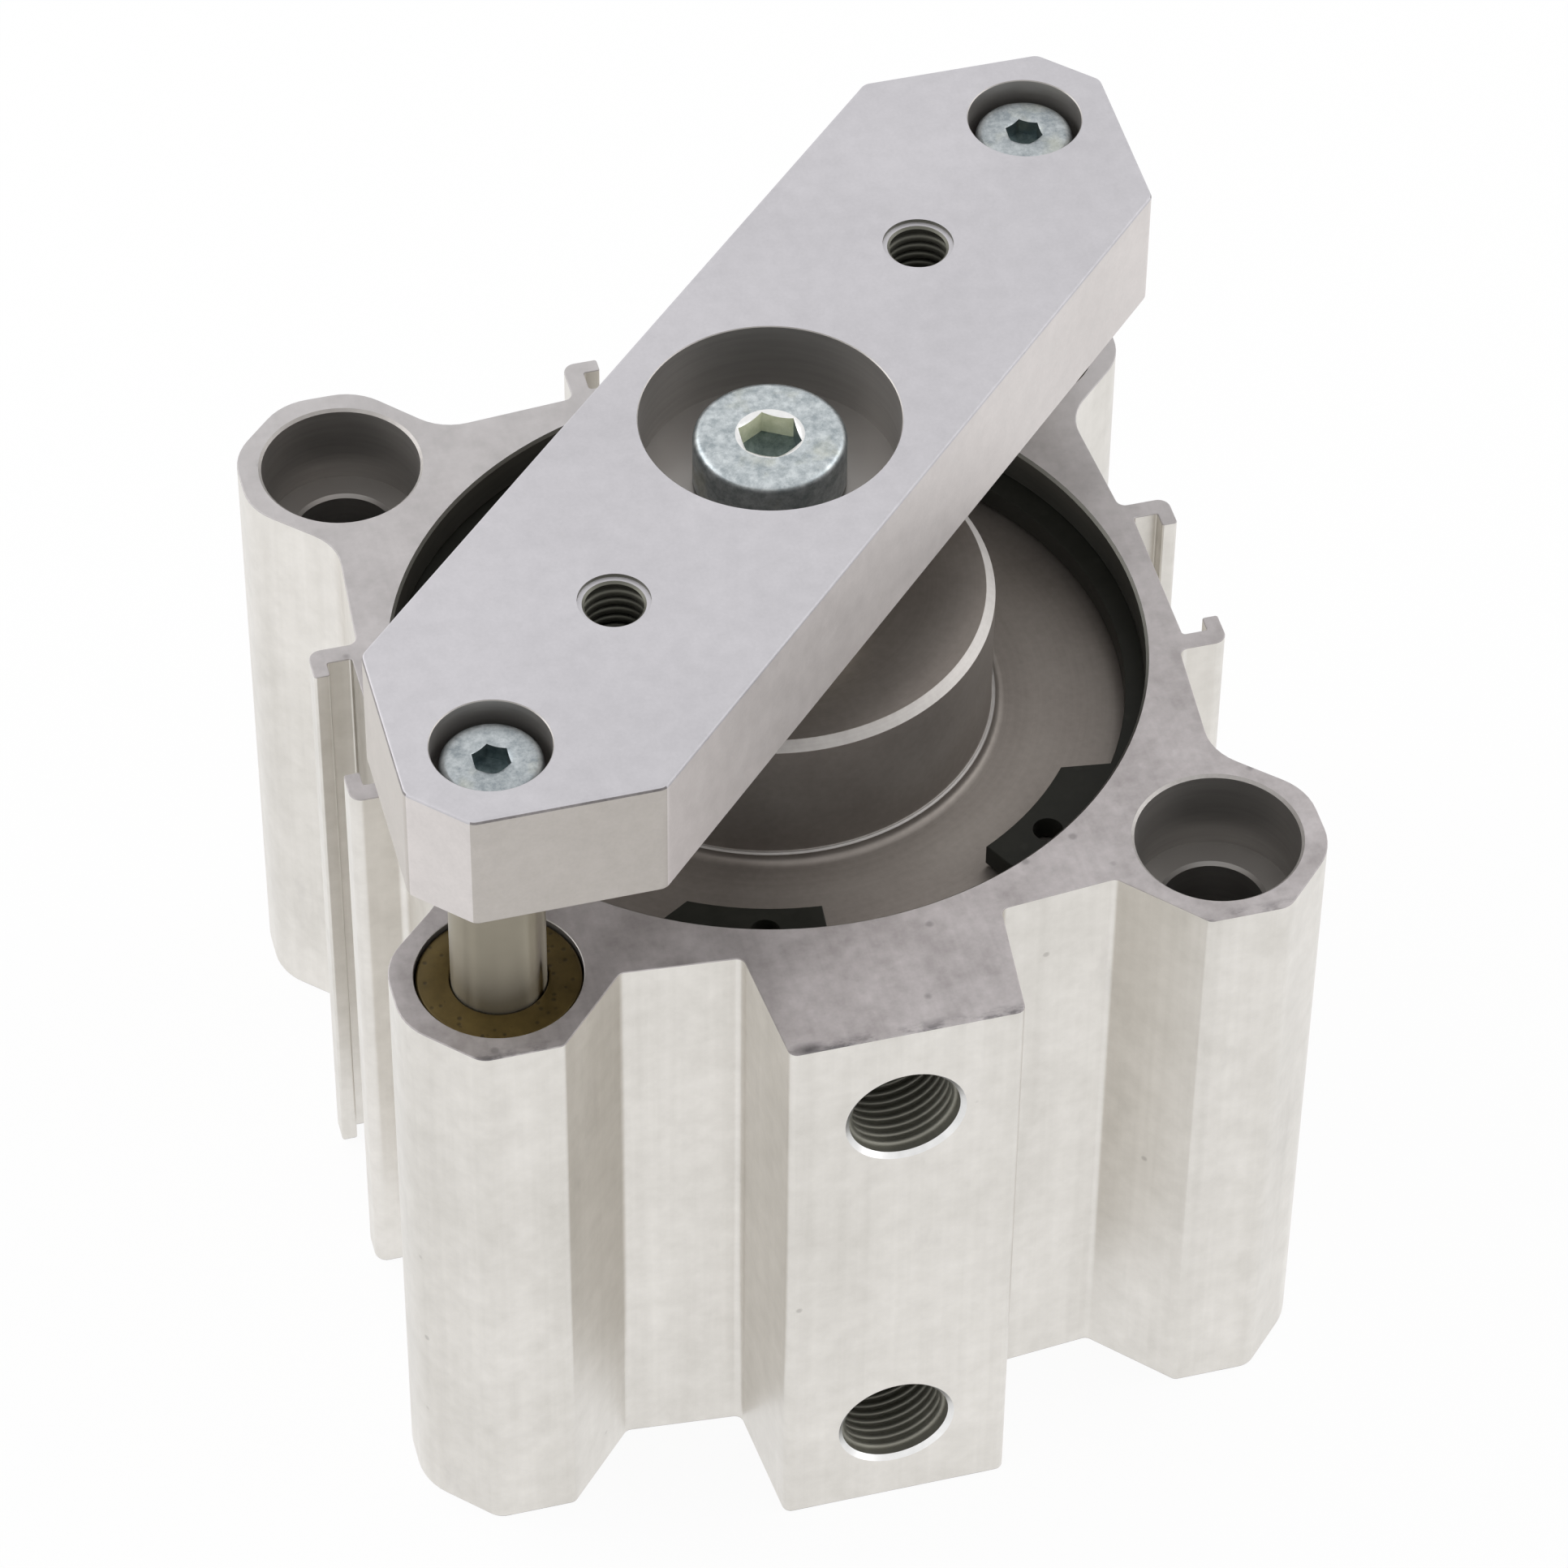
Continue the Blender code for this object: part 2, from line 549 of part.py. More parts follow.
def make_body():
    body = extrude("cylinder_body", [body_section()], 0.0, BODY_HEIGHT, anodised)
    cut(body, turn("bore", bore_profile(), BORE_STEPS, is_cutter=True))
    for corner, place in MOUNTING_CORNERS.items():
        name = "mounting_hole_" + corner
        cut(body, turn(name, mounting_hole_profile(), SMALL_STEPS, at=place, is_cutter=True))
    for corner, place in GUIDE_CORNERS.items():
        name = "guide_hole_" + corner
        cut(body, turn(name, guide_hole_profile(), SMALL_STEPS, at=place, is_cutter=True))
    cut_port(body, "front_port", FRONT_SHOULDER + FRONT_PORT_PAST_SHOULDER, -1)
    cut_port(body, "rear_port", REAR_SHOULDER - REAR_PORT_PAST_SHOULDER, 1)
    finish(body)


# Covers and what holds and seals them

def flange_profile(outer_face, shoulder, into_chamber):
    """The outer side of a cover's flange and spigot, from its outer face inwards."""
    low = min(outer_face, shoulder)
    middle = low + COVER_FLANGE / 2
    near = middle + into_chamber * -O_RING_GROOVE_WIDTH / 2
    far = middle + into_chamber * O_RING_GROOVE_WIDTH / 2
    radius = COVER_SEAT_RADIUS - FIT_GAP
    seat = shoulder - into_chamber * SEAT_GAP
    end = shoulder + into_chamber * COVER_SPIGOT
    return [
        (radius, outer_face),
        (radius, near),
        (O_RING_GROOVE_ROOT, near),
        (O_RING_GROOVE_ROOT, far),
        (radius, far),
        (radius, seat),
        (COVER_SPIGOT_RADIUS, seat),
        (COVER_SPIGOT_RADIUS, end),
    ]


BUSH_OUTER = ROD_RADIUS + SLIDE_GAP + BUSH_WALL
SEAL_HIGH = HUB_TOP - SEAL_BELOW_HUB
SEAL_LOW = SEAL_HIGH - SEAL_HEIGHT
WEB_HIGH = SEAL_LOW - SEAT_GAP
WEB_LOW = WEB_HIGH - SEAL_WEB
BUSH_HIGH = WEB_LOW - SEAT_GAP
BUSH_LOW = CHAMBER_HIGH + BUSH_SINK


def make_front_cover():
    """The rod side's cover, with the raised hub that carries the rod's bush and seal."""
    bush_seat = BUSH_OUTER + FIT_GAP
    foot_high = FRONT_COVER_FACE + HUB_FOOT_FILLET
    fillet_turn = HUB_FOOT_FILLET * math.sqrt(0.5)
    fillet_axis = HUB_FOOT_RADIUS + HUB_FOOT_FILLET
    hub = [
        (SEAL_SEAT_RADIUS, HUB_TOP),
        (HUB_RADIUS - HUB_CHAMFER, HUB_TOP),
        (HUB_RADIUS, HUB_TOP - HUB_CHAMFER),
        (HUB_RADIUS, foot_high),
        (HUB_FOOT_RADIUS, foot_high),
        (fillet_axis - fillet_turn, foot_high - fillet_turn),
        (fillet_axis, FRONT_COVER_FACE),
    ]
    inside = [
        (bush_seat, CHAMBER_HIGH),
        (bush_seat, WEB_LOW),
        (SEAL_WEB_RADIUS, WEB_LOW),
        (SEAL_WEB_RADIUS, WEB_HIGH),
        (SEAL_SEAT_RADIUS, WEB_HIGH),
    ]
    outside = flange_profile(FRONT_COVER_FACE, FRONT_SHOULDER, -1)
    finish(turn("front_cover", hub + outside + inside, COVER_STEPS, cover_finish))


def make_rear_cover():
    """The closed end's cover, relieved in the middle of its outer face."""
    outside = flange_profile(REAR_COVER_FACE, REAR_SHOULDER, 1)
    outside.reverse()
    relief = REAR_COVER_FACE + COVER_RELIEF_DEPTH
    face = [(COVER_RELIEF_RADIUS, REAR_COVER_FACE), (COVER_RELIEF_RADIUS, relief), (0.0, relief)]
    finish(turn("rear_cover", [(0.0, CHAMBER_LOW)] + outside + face, COVER_STEPS, turned_aluminium))


def make_o_ring(name, height, middle_radius, cord_radius, parent):
    """A round-section ring, turned from a circle of points."""
    section = circle((middle_radius, height), cord_radius, CORD_STEPS)
    section.reverse()
    finish(turn(name, section, PISTON_STEPS, seal_rubber, parent))


def make_cover_o_rings():
    middle = COVER_SEAT_RADIUS - SLIDE_GAP - O_RING_CORD_RADIUS
    for name, height in (
        ("front_cover_o_ring", FRONT_SHOULDER + COVER_FLANGE / 2),
        ("rear_cover_o_ring", REAR_SHOULDER - COVER_FLANGE / 2),
    ):
        make_o_ring(name, height, middle, O_RING_CORD_RADIUS, cylinder_axis)


def ring_point(angle, radius):
    """A point of a retaining ring, at an angle from the middle of its gap."""
    turned = RING_GAP_DIRECTION + angle
    return (radius * math.cos(turned), radius * math.sin(turned))


def ring_outlines():
    """A retaining ring: widest opposite its gap, with a drilled lug on each side of the gap."""
    gap = RING_GAP_HALF
    far = math.tau - gap
    lug_end = gap + LUG_SPAN
    bow_start = lug_end + LUG_SHOULDER
    lug_steps = CORNER_STEPS
    outer = []
    for step in range(RING_STEPS + 1):
        angle = gap + (far - gap) * step / RING_STEPS
        outer.append(ring_point(angle, RING_OUTER_RADIUS))
    second_lug = []
    for step in range(lug_steps + 1):
        second_lug.append(ring_point(far - LUG_SPAN * step / lug_steps, LUG_RADIUS))
    bow = []
    for step in range(RING_STEPS + 1):
        angle = math.tau - bow_start - (math.tau - 2 * bow_start) * step / RING_STEPS
        inner = RING_INNER_RADIUS + RING_ECCENTRICITY * math.cos(angle)
        bow.append(ring_point(angle, inner))
    first_lug = []
    for step in range(lug_steps + 1):
        first_lug.append(ring_point(lug_end - LUG_SPAN * step / lug_steps, LUG_RADIUS))
    holes = []
    for angle in (gap + LUG_HOLE_ANGLE, far - LUG_HOLE_ANGLE):
        holes.append(circle(ring_point(angle, LUG_HOLE_AT), LUG_HOLE_RADIUS, TINY_STEPS))
    return [outer + second_lug + bow + first_lug] + holes


def make_retaining_rings():
    front_low = FRONT_COVER_FACE + SEAT_GAP
    rear_high = REAR_COVER_FACE - SEAT_GAP
    for name, low in (
        ("front_retaining_ring", front_low),
        ("rear_retaining_ring", rear_high - RING_THICKNESS),
    ):
        finish(extrude(name, ring_outlines(), low, low + RING_THICKNESS, spring_steel))


def make_rod_bush():
    inner = ROD_RADIUS + SLIDE_GAP
    profile = [(inner, BUSH_HIGH), (BUSH_OUTER, BUSH_HIGH), (BUSH_OUTER, BUSH_LOW), (inner, BUSH_LOW)]
    finish(turn("rod_bush", profile, PISTON_STEPS, bronze))


def make_rod_seal():
    """The combined rod seal and wiper: a cup open towards the chamber, with a lip on top."""
    inner = ROD_RADIUS + SLIDE_GAP
    outer = SEAL_SEAT_RADIUS - FIT_GAP
    cup = SEAL_LOW + SEAL_CUP_DEPTH
    profile = [
        (inner, SEAL_HIGH),
        (inner + SEAL_WALL, SEAL_HIGH),
        (outer - SEAL_WALL, SEAL_HIGH - SEAL_WALL),
        (outer, SEAL_HIGH - SEAL_WALL),
        (outer, SEAL_LOW),
        (outer - SEAL_WALL, SEAL_LOW),
        (outer - SEAL_WALL, cup),
        (inner + SEAL_WALL, cup),
        (inner + SEAL_WALL, SEAL_LOW),
        (inner, SEAL_LOW),
    ]
    finish(turn("rod_seal", profile, PISTON_STEPS, seal_rubber))


# Piston rod and piston

ROD_TOP = PLATE_LOW + PLATE_SOCKET_DEPTH - SEAT_GAP
ROD_SHOULDER = PISTON_HIGH + SEAT_GAP
SPIGOT_END = PISTON_MIDDLE - SPIGOT_PAST_MIDDLE
PISTON_SCREW_FLOOR = SPIGOT_END - SEAT_GAP - PISTON_SCREW_WEB


def tapped_end(screw, seat, up):
    """Where the hole under a screw ends, a little past the tip of its shank."""
    shank = screw[4]
    return seat + up * (SEAT_GAP - shank - THREAD_RUNOUT)


def make_piston_rod():
    """The rod, tapped at both ends, with a spigot through the piston and two wrench flats."""
    upper_thread = CENTRE_SCREW[0] + THREAD_GAP
    lower_thread = PISTON_SCREW[0] + THREAD_GAP
    upper_end = tapped_end(CENTRE_SCREW, CENTRE_SCREW_SEAT, 1)
    lower_end = tapped_end(PISTON_SCREW, PISTON_SCREW_FLOOR, -1)
    profile = [
        (0.0, upper_end - upper_thread / 2),
        (upper_thread, upper_end),
        (upper_thread, ROD_TOP),
        (ROD_RADIUS - ROD_CHAMFER, ROD_TOP),
        (ROD_RADIUS, ROD_TOP - ROD_CHAMFER),
        (ROD_RADIUS, ROD_SHOULDER),
        (ROD_SPIGOT_RADIUS, ROD_SHOULDER),
        (ROD_SPIGOT_RADIUS, SPIGOT_END),
        (lower_thread, SPIGOT_END),
        (lower_thread, lower_end),
        (0.0, lower_end + lower_thread / 2),
    ]
    rod = turn("piston_rod", profile, PISTON_STEPS, rod_steel, stroke_slide)
    flat_high = PLATE_LOW - WRENCH_BELOW_PLATE
    flat_low = HUB_TOP + WRENCH_ABOVE_HUB
    near = ROD_RADIUS - WRENCH_FLAT_DEPTH
    for name, side in (("wrench_flat_left", -1), ("wrench_flat_right", 1)):
        far = ROD_RADIUS + CUT_OVERRUN
        square = [
            (side * near, -far),
            (side * far, -far),
            (side * far, far),
            (side * near, far),
        ]
        cut(rod, extrude(name, [square], flat_low, flat_high, is_cutter=True))
    finish(rod)


def half_piston_rim():
    """The outer side of one half, from its outer face to the middle, as heights from the middle."""
    face = PISTON_THICKNESS / 2
    groove_floor = face - BUMPER_GROOVE_DEPTH
    return [
        (BUMPER_INNER - SEAT_GAP, face),
        (BUMPER_INNER - SEAT_GAP, groove_floor),
        (BUMPER_OUTER + SEAT_GAP, groove_floor),
        (BUMPER_OUTER + SEAT_GAP, face),
        (PISTON_RADIUS - PISTON_EDGE, face),
        (PISTON_RADIUS, face - PISTON_EDGE),
        (PISTON_RADIUS, SEAL_GROOVE_FAR),
        (PISTON_SEAL_ROOT, SEAL_GROOVE_FAR),
        (PISTON_SEAL_ROOT, SEAL_GROOVE_NEAR),
        (PISTON_RADIUS, SEAL_GROOVE_NEAR),
        (PISTON_RADIUS, MAGNET_POCKET_HALF),
        (MAGNET_INNER - SEAT_GAP, MAGNET_POCKET_HALF),
        (MAGNET_INNER - SEAT_GAP, SEAT_GAP / 2),
    ]


def make_piston_halves():
    """Two halves that meet on the middle plane and hold the magnet and the guide ring."""
    bore = ROD_SPIGOT_RADIUS + FIT_GAP
    rim = half_piston_rim()
    front = [(radius, PISTON_MIDDLE + height) for radius, height in rim]
    front += [
        (bore, PISTON_MIDDLE + SEAT_GAP / 2),
        (bore, PISTON_HIGH - ROD_O_RING_GROOVE_DEPTH),
        (ROD_O_RING_GROOVE_RADIUS, PISTON_HIGH - ROD_O_RING_GROOVE_DEPTH),
        (ROD_O_RING_GROOVE_RADIUS, PISTON_HIGH),
    ]
    finish(turn("piston_front_half", front, PISTON_STEPS, turned_aluminium, stroke_slide))
    pocket = PISTON_SCREW[1] + POCKET_GAP
    screw_hole = PISTON_SCREW[0] + SCREW_HOLE_GAP
    web = PISTON_SCREW_FLOOR + PISTON_SCREW_WEB
    rear = [(radius, PISTON_MIDDLE - height) for radius, height in reversed(rim)]
    rear += [
        (pocket, PISTON_LOW),
        (pocket, PISTON_SCREW_FLOOR),
        (screw_hole, PISTON_SCREW_FLOOR),
        (screw_hole, web),
        (bore, web),
        (bore, PISTON_MIDDLE - SEAT_GAP / 2),
    ]
    finish(turn("piston_rear_half", rear, PISTON_STEPS, turned_aluminium, stroke_slide))


def make_ring(name, inner, outer, low, high, material):
    """A plain ring on the piston."""
    profile = [(inner, high), (outer, high), (outer, low), (inner, low)]
    finish(turn(name, profile, PISTON_STEPS, material, stroke_slide))


def make_piston_seal(name, facing):
    """A lip seal in its groove. Its cup opens towards the pressure, up or down."""
    base = PISTON_MIDDLE + facing * (SEAL_GROOVE_NEAR + SEAT_GAP)
    tip = PISTON_MIDDLE + facing * (SEAL_GROOVE_FAR - SEAT_GAP)
    root = PISTON_SEAL_ROOT + SEAT_GAP
    lip = BORE_RADIUS - SLIDE_GAP
    cup = base + facing * PISTON_SEAL_WALL
    profile = [
        (root, tip),
        (root + PISTON_SEAL_WALL, tip),
        (root + PISTON_SEAL_WALL, cup),
        (lip - PISTON_SEAL_WALL, cup),
        (lip - PISTON_SEAL_WALL, tip),
        (lip, tip),
        (lip - SEAT_GAP * 2, base),
        (root, base),
    ]
    if facing < 0:
        profile.reverse()
    finish(turn(name, profile, PISTON_STEPS, seal_rubber, stroke_slide))


def make_bumper(name, facing):
    """A soft stop ring, pressed into a groove in the piston's face."""
    face = PISTON_MIDDLE + facing * PISTON_THICKNESS / 2
    floor = face - facing * (BUMPER_GROOVE_DEPTH - SEAT_GAP)
    crown = face + facing * BUMPER_PROUD
    profile = [
        (BUMPER_INNER, crown - facing * BUMPER_EDGE),
        (BUMPER_INNER + BUMPER_EDGE, crown),
        (BUMPER_OUTER - BUMPER_EDGE, crown),
        (BUMPER_OUTER, crown - facing * BUMPER_EDGE),
        (BUMPER_OUTER, floor),
        (BUMPER_INNER, floor),
    ]
    if facing < 0:
        profile.reverse()
    finish(turn(name, profile, PISTON_STEPS, bumper_rubber, stroke_slide))


def make_piston_fittings():
    magnet_low = PISTON_MIDDLE - MAGNET_HEIGHT / 2
    magnet_high = PISTON_MIDDLE + MAGNET_HEIGHT / 2
    make_ring("piston_magnet", MAGNET_INNER, MAGNET_OUTER, magnet_low, magnet_high, magnet_compound)
    guide_outer = BORE_RADIUS - SLIDE_GAP
    make_ring("piston_guide_ring", GUIDE_RING_INNER, guide_outer, magnet_low, magnet_high, guide_plastic)
    make_piston_seal("piston_seal_front", 1)
    make_piston_seal("piston_seal_rear", -1)
    make_bumper("front_bumper", 1)
    make_bumper("rear_bumper", -1)
    cord = ROD_O_RING_CORD_RADIUS
    height = PISTON_HIGH - ROD_O_RING_GROOVE_DEPTH / 2
    middle = (ROD_SPIGOT_RADIUS + ROD_O_RING_GROOVE_RADIUS) / 2
    make_o_ring("rod_o_ring", height, middle, cord, stroke_slide)


# Screws

def make_screw(name, sizes, seat, at, points_up=False):
    """A low head cap screw with a hexagon socket. Its head bears on the seat's height."""
    thread, head, height, socket, shank = sizes
    out = -1 if points_up else 1
    bearing = seat + out * SEAT_GAP
    crown = bearing + out * height
    edge = height / 10
    profile = [
        (0.0, crown),
        (head - edge, crown),
        (head, crown - out * edge),
        (head, bearing),
        (thread, bearing),
        (thread, bearing - out * (shank - edge)),
        (thread - edge, bearing - out * shank),
        (0.0, bearing - out * shank),
    ]
    if points_up:
        profile.reverse()
    screw = turn(name, profile, SMALL_STEPS, zinc_steel, stroke_slide, at=at)
    floor = crown - out * height * SOCKET_SHARE
    past = crown + out * CUT_OVERRUN
    hexagon = circle(at, hexagon_radius(socket), 6)
    cutter = extrude(name + "_socket", [hexagon], min(floor, past), max(floor, past), is_cutter=True)
    cut(screw, cutter)
    finish(screw)


# Guide plate and guide rods

def plate_outline():
    """A diagonal band across a square, with its two outer corners chamfered."""
    half = PLATE_HALF
    short = half - PLATE_BAND_HALF * math.sqrt(2.0)
    chamfer = half - PLATE_CORNER_CHAMFER
    radius = PLATE_CORNER_RADIUS
    one_end = [
        (short, half, radius),
        (-half, -short, radius),
        (-half, -chamfer, radius),
        (-chamfer, -half, radius),
    ]
    other_end = [(-x, -y, corner) for x, y, corner in one_end]
    return round_corners(one_end + other_end)


def plate_hole_profile(radius, floor, through, socket_radius, socket_depth):
    """A hole through the plate, counterbored from above and socketed from below."""
    socket_roof = PLATE_LOW + socket_depth
    return [
        (0.0, PLATE_HIGH + CUT_OVERRUN),
        *drilled_face(radius, RIM_CHAMFER, PLATE_HIGH, 1),
        (radius, floor),
        (through, floor),
        (through, socket_roof),
        (socket_radius, socket_roof),
        (socket_radius, PLATE_LOW - CUT_OVERRUN),
        (0.0, PLATE_LOW - CUT_OVERRUN),
    ]


def tool_hole_profile():
    """A tapped hole through the plate, where the load is fastened."""
    top = drilled_face(TOOL_HOLE_RADIUS, TOOL_HOLE_CHAMFER, PLATE_HIGH, 1)
    bottom = drilled_face(TOOL_HOLE_RADIUS, TOOL_HOLE_CHAMFER, PLATE_LOW, -1)
    bottom.reverse()
    return [(0.0, top[0][1])] + top + bottom + [(0.0, bottom[-1][1])]


def make_guide_plate():
    plate = extrude("guide_plate", [plate_outline()], PLATE_LOW, PLATE_HIGH, plate_finish, stroke_slide)
    edges = plate.modifiers.new("edges", "BEVEL")
    edges.width = PLATE_EDGE
    edges.segments = 1
    edges.limit_method = "ANGLE"
    edges.angle_limit = math.radians(60.0)
    centre = plate_hole_profile(
        PLATE_COUNTERBORE_RADIUS,
        CENTRE_SCREW_SEAT,
        CENTRE_SCREW[0] + SCREW_HOLE_GAP,
        ROD_RADIUS + FIT_GAP,
        PLATE_SOCKET_DEPTH,
    )
    cut(plate, turn("plate_centre_hole", centre, PISTON_STEPS, is_cutter=True))
    guide = plate_hole_profile(
        SCREW_COUNTERBORE_RADIUS,
        GUIDE_SCREW_SEAT,
        GUIDE_SCREW[0] + SCREW_HOLE_GAP,
        GUIDE_ROD_RADIUS + FIT_GAP,
        GUIDE_SOCKET_DEPTH,
    )
    for corner, place in GUIDE_CORNERS.items():
        cut(plate, turn("plate_hole_" + corner, guide, SMALL_STEPS, at=place, is_cutter=True))
    along = TOOL_HOLE_SPACING / 2 / math.sqrt(2.0)
    for name, place in (("tool_hole_front", (-along, -along)), ("tool_hole_back", (along, along))):
        cut(plate, turn(name, tool_hole_profile(), TINY_STEPS, at=place, is_cutter=True))
    finish(plate)


def make_guide_rods():
    """Two hardened rods, tapped at the top for the screws that hold them to the plate."""
    top = PLATE_LOW + GUIDE_SOCKET_DEPTH - SEAT_GAP
    thread = GUIDE_SCREW[0] + THREAD_GAP
    hole_end = tapped_end(GUIDE_SCREW, GUIDE_SCREW_SEAT, 1)
    radius = GUIDE_ROD_RADIUS
    edge = GUIDE_ROD_CHAMFER
    profile = [
        (0.0, hole_end - thread / 2),
        (thread, hole_end),
        (thread, top),
        (radius, top),
        (radius, GUIDE_ROD_FOOT + edge),
        (radius - edge, GUIDE_ROD_FOOT),
        (0.0, GUIDE_ROD_FOOT),
    ]
    for corner, place in GUIDE_CORNERS.items():
        finish(turn("guide_rod_" + corner, profile, SMALL_STEPS, rod_steel, stroke_slide, at=place))


def make_guide_bushes():
    """Two bushes in each guide corner, one sunk just below each face of the body."""
    inner = GUIDE_ROD_RADIUS + SLIDE_GAP
    outer = COUNTERBORE_RADIUS - FIT_GAP
    mouth = GUIDE_BUSH_MOUTH
    upper = [
        (inner + mouth, UPPER_BUSH_LOW + UPPER_BUSH_LENGTH),
        (outer, UPPER_BUSH_LOW + UPPER_BUSH_LENGTH),
        (outer, UPPER_BUSH_LOW),
        (inner, UPPER_BUSH_LOW),
        (inner, UPPER_BUSH_LOW + UPPER_BUSH_LENGTH - mouth),
    ]
    lower = [
        (inner, LOWER_BUSH_HIGH),
        (outer, LOWER_BUSH_HIGH),
        (outer, GUIDE_BUSH_SINK),
        (inner + mouth, GUIDE_BUSH_SINK),
        (inner, GUIDE_BUSH_SINK + mouth),
    ]
    for corner, place in GUIDE_CORNERS.items():
        finish(turn("upper_guide_bush_" + corner, upper, SMALL_STEPS, bronze, at=place))
        finish(turn("lower_guide_bush_" + corner, lower, SMALL_STEPS, bronze, at=place))


make_body()
make_front_cover()
make_rear_cover()
make_cover_o_rings()
make_retaining_rings()
make_rod_bush()
make_rod_seal()
make_piston_rod()
make_piston_halves()
make_piston_fittings()
make_guide_plate()
make_guide_rods()
make_guide_bushes()
make_screw("centre_screw", CENTRE_SCREW, CENTRE_SCREW_SEAT, (0.0, 0.0))
make_screw("piston_screw", PISTON_SCREW, PISTON_SCREW_FLOOR, (0.0, 0.0), points_up=True)
for corner_name, corner_place in GUIDE_CORNERS.items():
    make_screw("guide_screw_" + corner_name, GUIDE_SCREW, GUIDE_SCREW_SEAT, corner_place)
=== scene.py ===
# %% [markdown]
# # A short stroke cylinder with a guided plate
# This lesson dresses a working model of a compact pneumatic cylinder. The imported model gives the
# frame: every solid piece at its real size, in metres. Here each visible piece gets a finer
# surface and a finish that is made only of nodes. The object is nearly all metal, so the finishes
# matter most: an extruded body, milled faces, a dark anodised cover, chromed rods and zinc plated
# screws all reflect the same soft studio in their own way.

import math

import bmesh
import bpy
from mathutils import Euler, Matrix, Vector


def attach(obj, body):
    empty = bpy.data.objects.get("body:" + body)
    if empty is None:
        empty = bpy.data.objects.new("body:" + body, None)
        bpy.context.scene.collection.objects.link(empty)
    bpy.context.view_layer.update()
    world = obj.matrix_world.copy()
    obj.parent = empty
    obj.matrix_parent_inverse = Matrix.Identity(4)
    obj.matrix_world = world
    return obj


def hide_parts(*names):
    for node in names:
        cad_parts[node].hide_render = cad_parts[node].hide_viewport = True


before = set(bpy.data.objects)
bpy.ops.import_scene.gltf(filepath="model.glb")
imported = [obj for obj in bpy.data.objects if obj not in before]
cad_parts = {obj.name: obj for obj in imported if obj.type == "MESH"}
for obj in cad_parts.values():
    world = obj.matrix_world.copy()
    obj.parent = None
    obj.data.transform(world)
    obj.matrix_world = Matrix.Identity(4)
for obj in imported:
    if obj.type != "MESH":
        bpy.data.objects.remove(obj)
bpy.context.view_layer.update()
MM = 0.001
AXIS_Y = 2.85 * MM
print("solids in the frame:", len(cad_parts))

# %% [markdown]
# ## The camera
# The photograph looks down on the cylinder from its port side, a little from the left. A long
# lens from 0.6 m away keeps the upright edges nearly parallel. A rotation built from azimuth,
# elevation and roll is easier to read than one copied from the viewport.

# %% Place the camera
AZIMUTH = math.radians(-15.1535)
ELEVATION = math.radians(46.8085)
ROLL = math.radians(0.6434)
CAMERA_DISTANCE = 612.96 * MM
AIM = Vector((4.651, 14.295, 31.0)) * MM

camera_data = bpy.data.cameras.new("photo_camera")
camera_data.lens = 155.06
camera_data.sensor_width = 36.0
camera_data.clip_start = 0.02
camera_data.clip_end = 20.0
camera = bpy.data.objects.new("photo_camera", camera_data)
bpy.context.scene.collection.objects.link(camera)
bpy.context.scene.camera = camera
flat = math.cos(ELEVATION)
towards_camera = Vector((math.sin(AZIMUTH) * flat, -math.cos(AZIMUTH) * flat, math.sin(ELEVATION)))
turn_up = Euler((math.pi / 2 - ELEVATION, 0.0, AZIMUTH)).to_matrix()
turn_all = turn_up @ Matrix.Rotation(ROLL, 3, "Z")
camera.matrix_world = Matrix.Translation(AIM + towards_camera * CAMERA_DISTANCE) @ turn_all.to_4x4()
print("camera stands at", [round(c, 3) for c in camera.matrix_world.translation])

# %% [markdown]
# ## Shader maths as expressions
# A finish is easier to read as a formula than as a list of links. The class below wraps one
# output socket. Adding or multiplying two wrapped sockets adds a Math node, so a line such as
# `0.4 + 0.1 * streaks` builds the nodes by itself. Colours stay out of Math nodes, because they
# would turn grey, and go through Mix and Vector Math instead.

# %% A socket that can be calculated with
def find_socket(sockets, key):
    """Finds a socket by its identifier, its name or its number."""
    if isinstance(key, int):
        return sockets[key]
    for socket in sockets:
        if socket.identifier == key:
            return socket
    return sockets[key]


class Value:
    """One output socket of a finish, with the arithmetic of Math nodes."""

    def __init__(self, finish, socket):
        self.finish = finish
        self.socket = socket

    def math(self, operation, *others):
        inputs = {0: self}
        for place, other in enumerate(others):
            inputs[place + 1] = other
        return self.finish.node("ShaderNodeMath", {"operation": operation}, inputs)

    def __add__(self, other):
        return self.math("ADD", other)

    def __sub__(self, other):
        return self.math("SUBTRACT", other)

    def __rsub__(self, other):
        return self.finish.node("ShaderNodeMath", {"operation": "SUBTRACT"}, {0: other, 1: self})

    def __mul__(self, other):
        return self.math("MULTIPLY", other)

    __radd__ = __add__
    __rmul__ = __mul__


# %% [markdown]
# ## One class for every finish
# Each finish is a Principled BSDF with a few things in common: a place in the object's own
# coordinates, noise at several scales, and a bump. What is the same all over a surface, such as a
# coat, is set straight on the shader. What varies goes in as a wrapped socket.

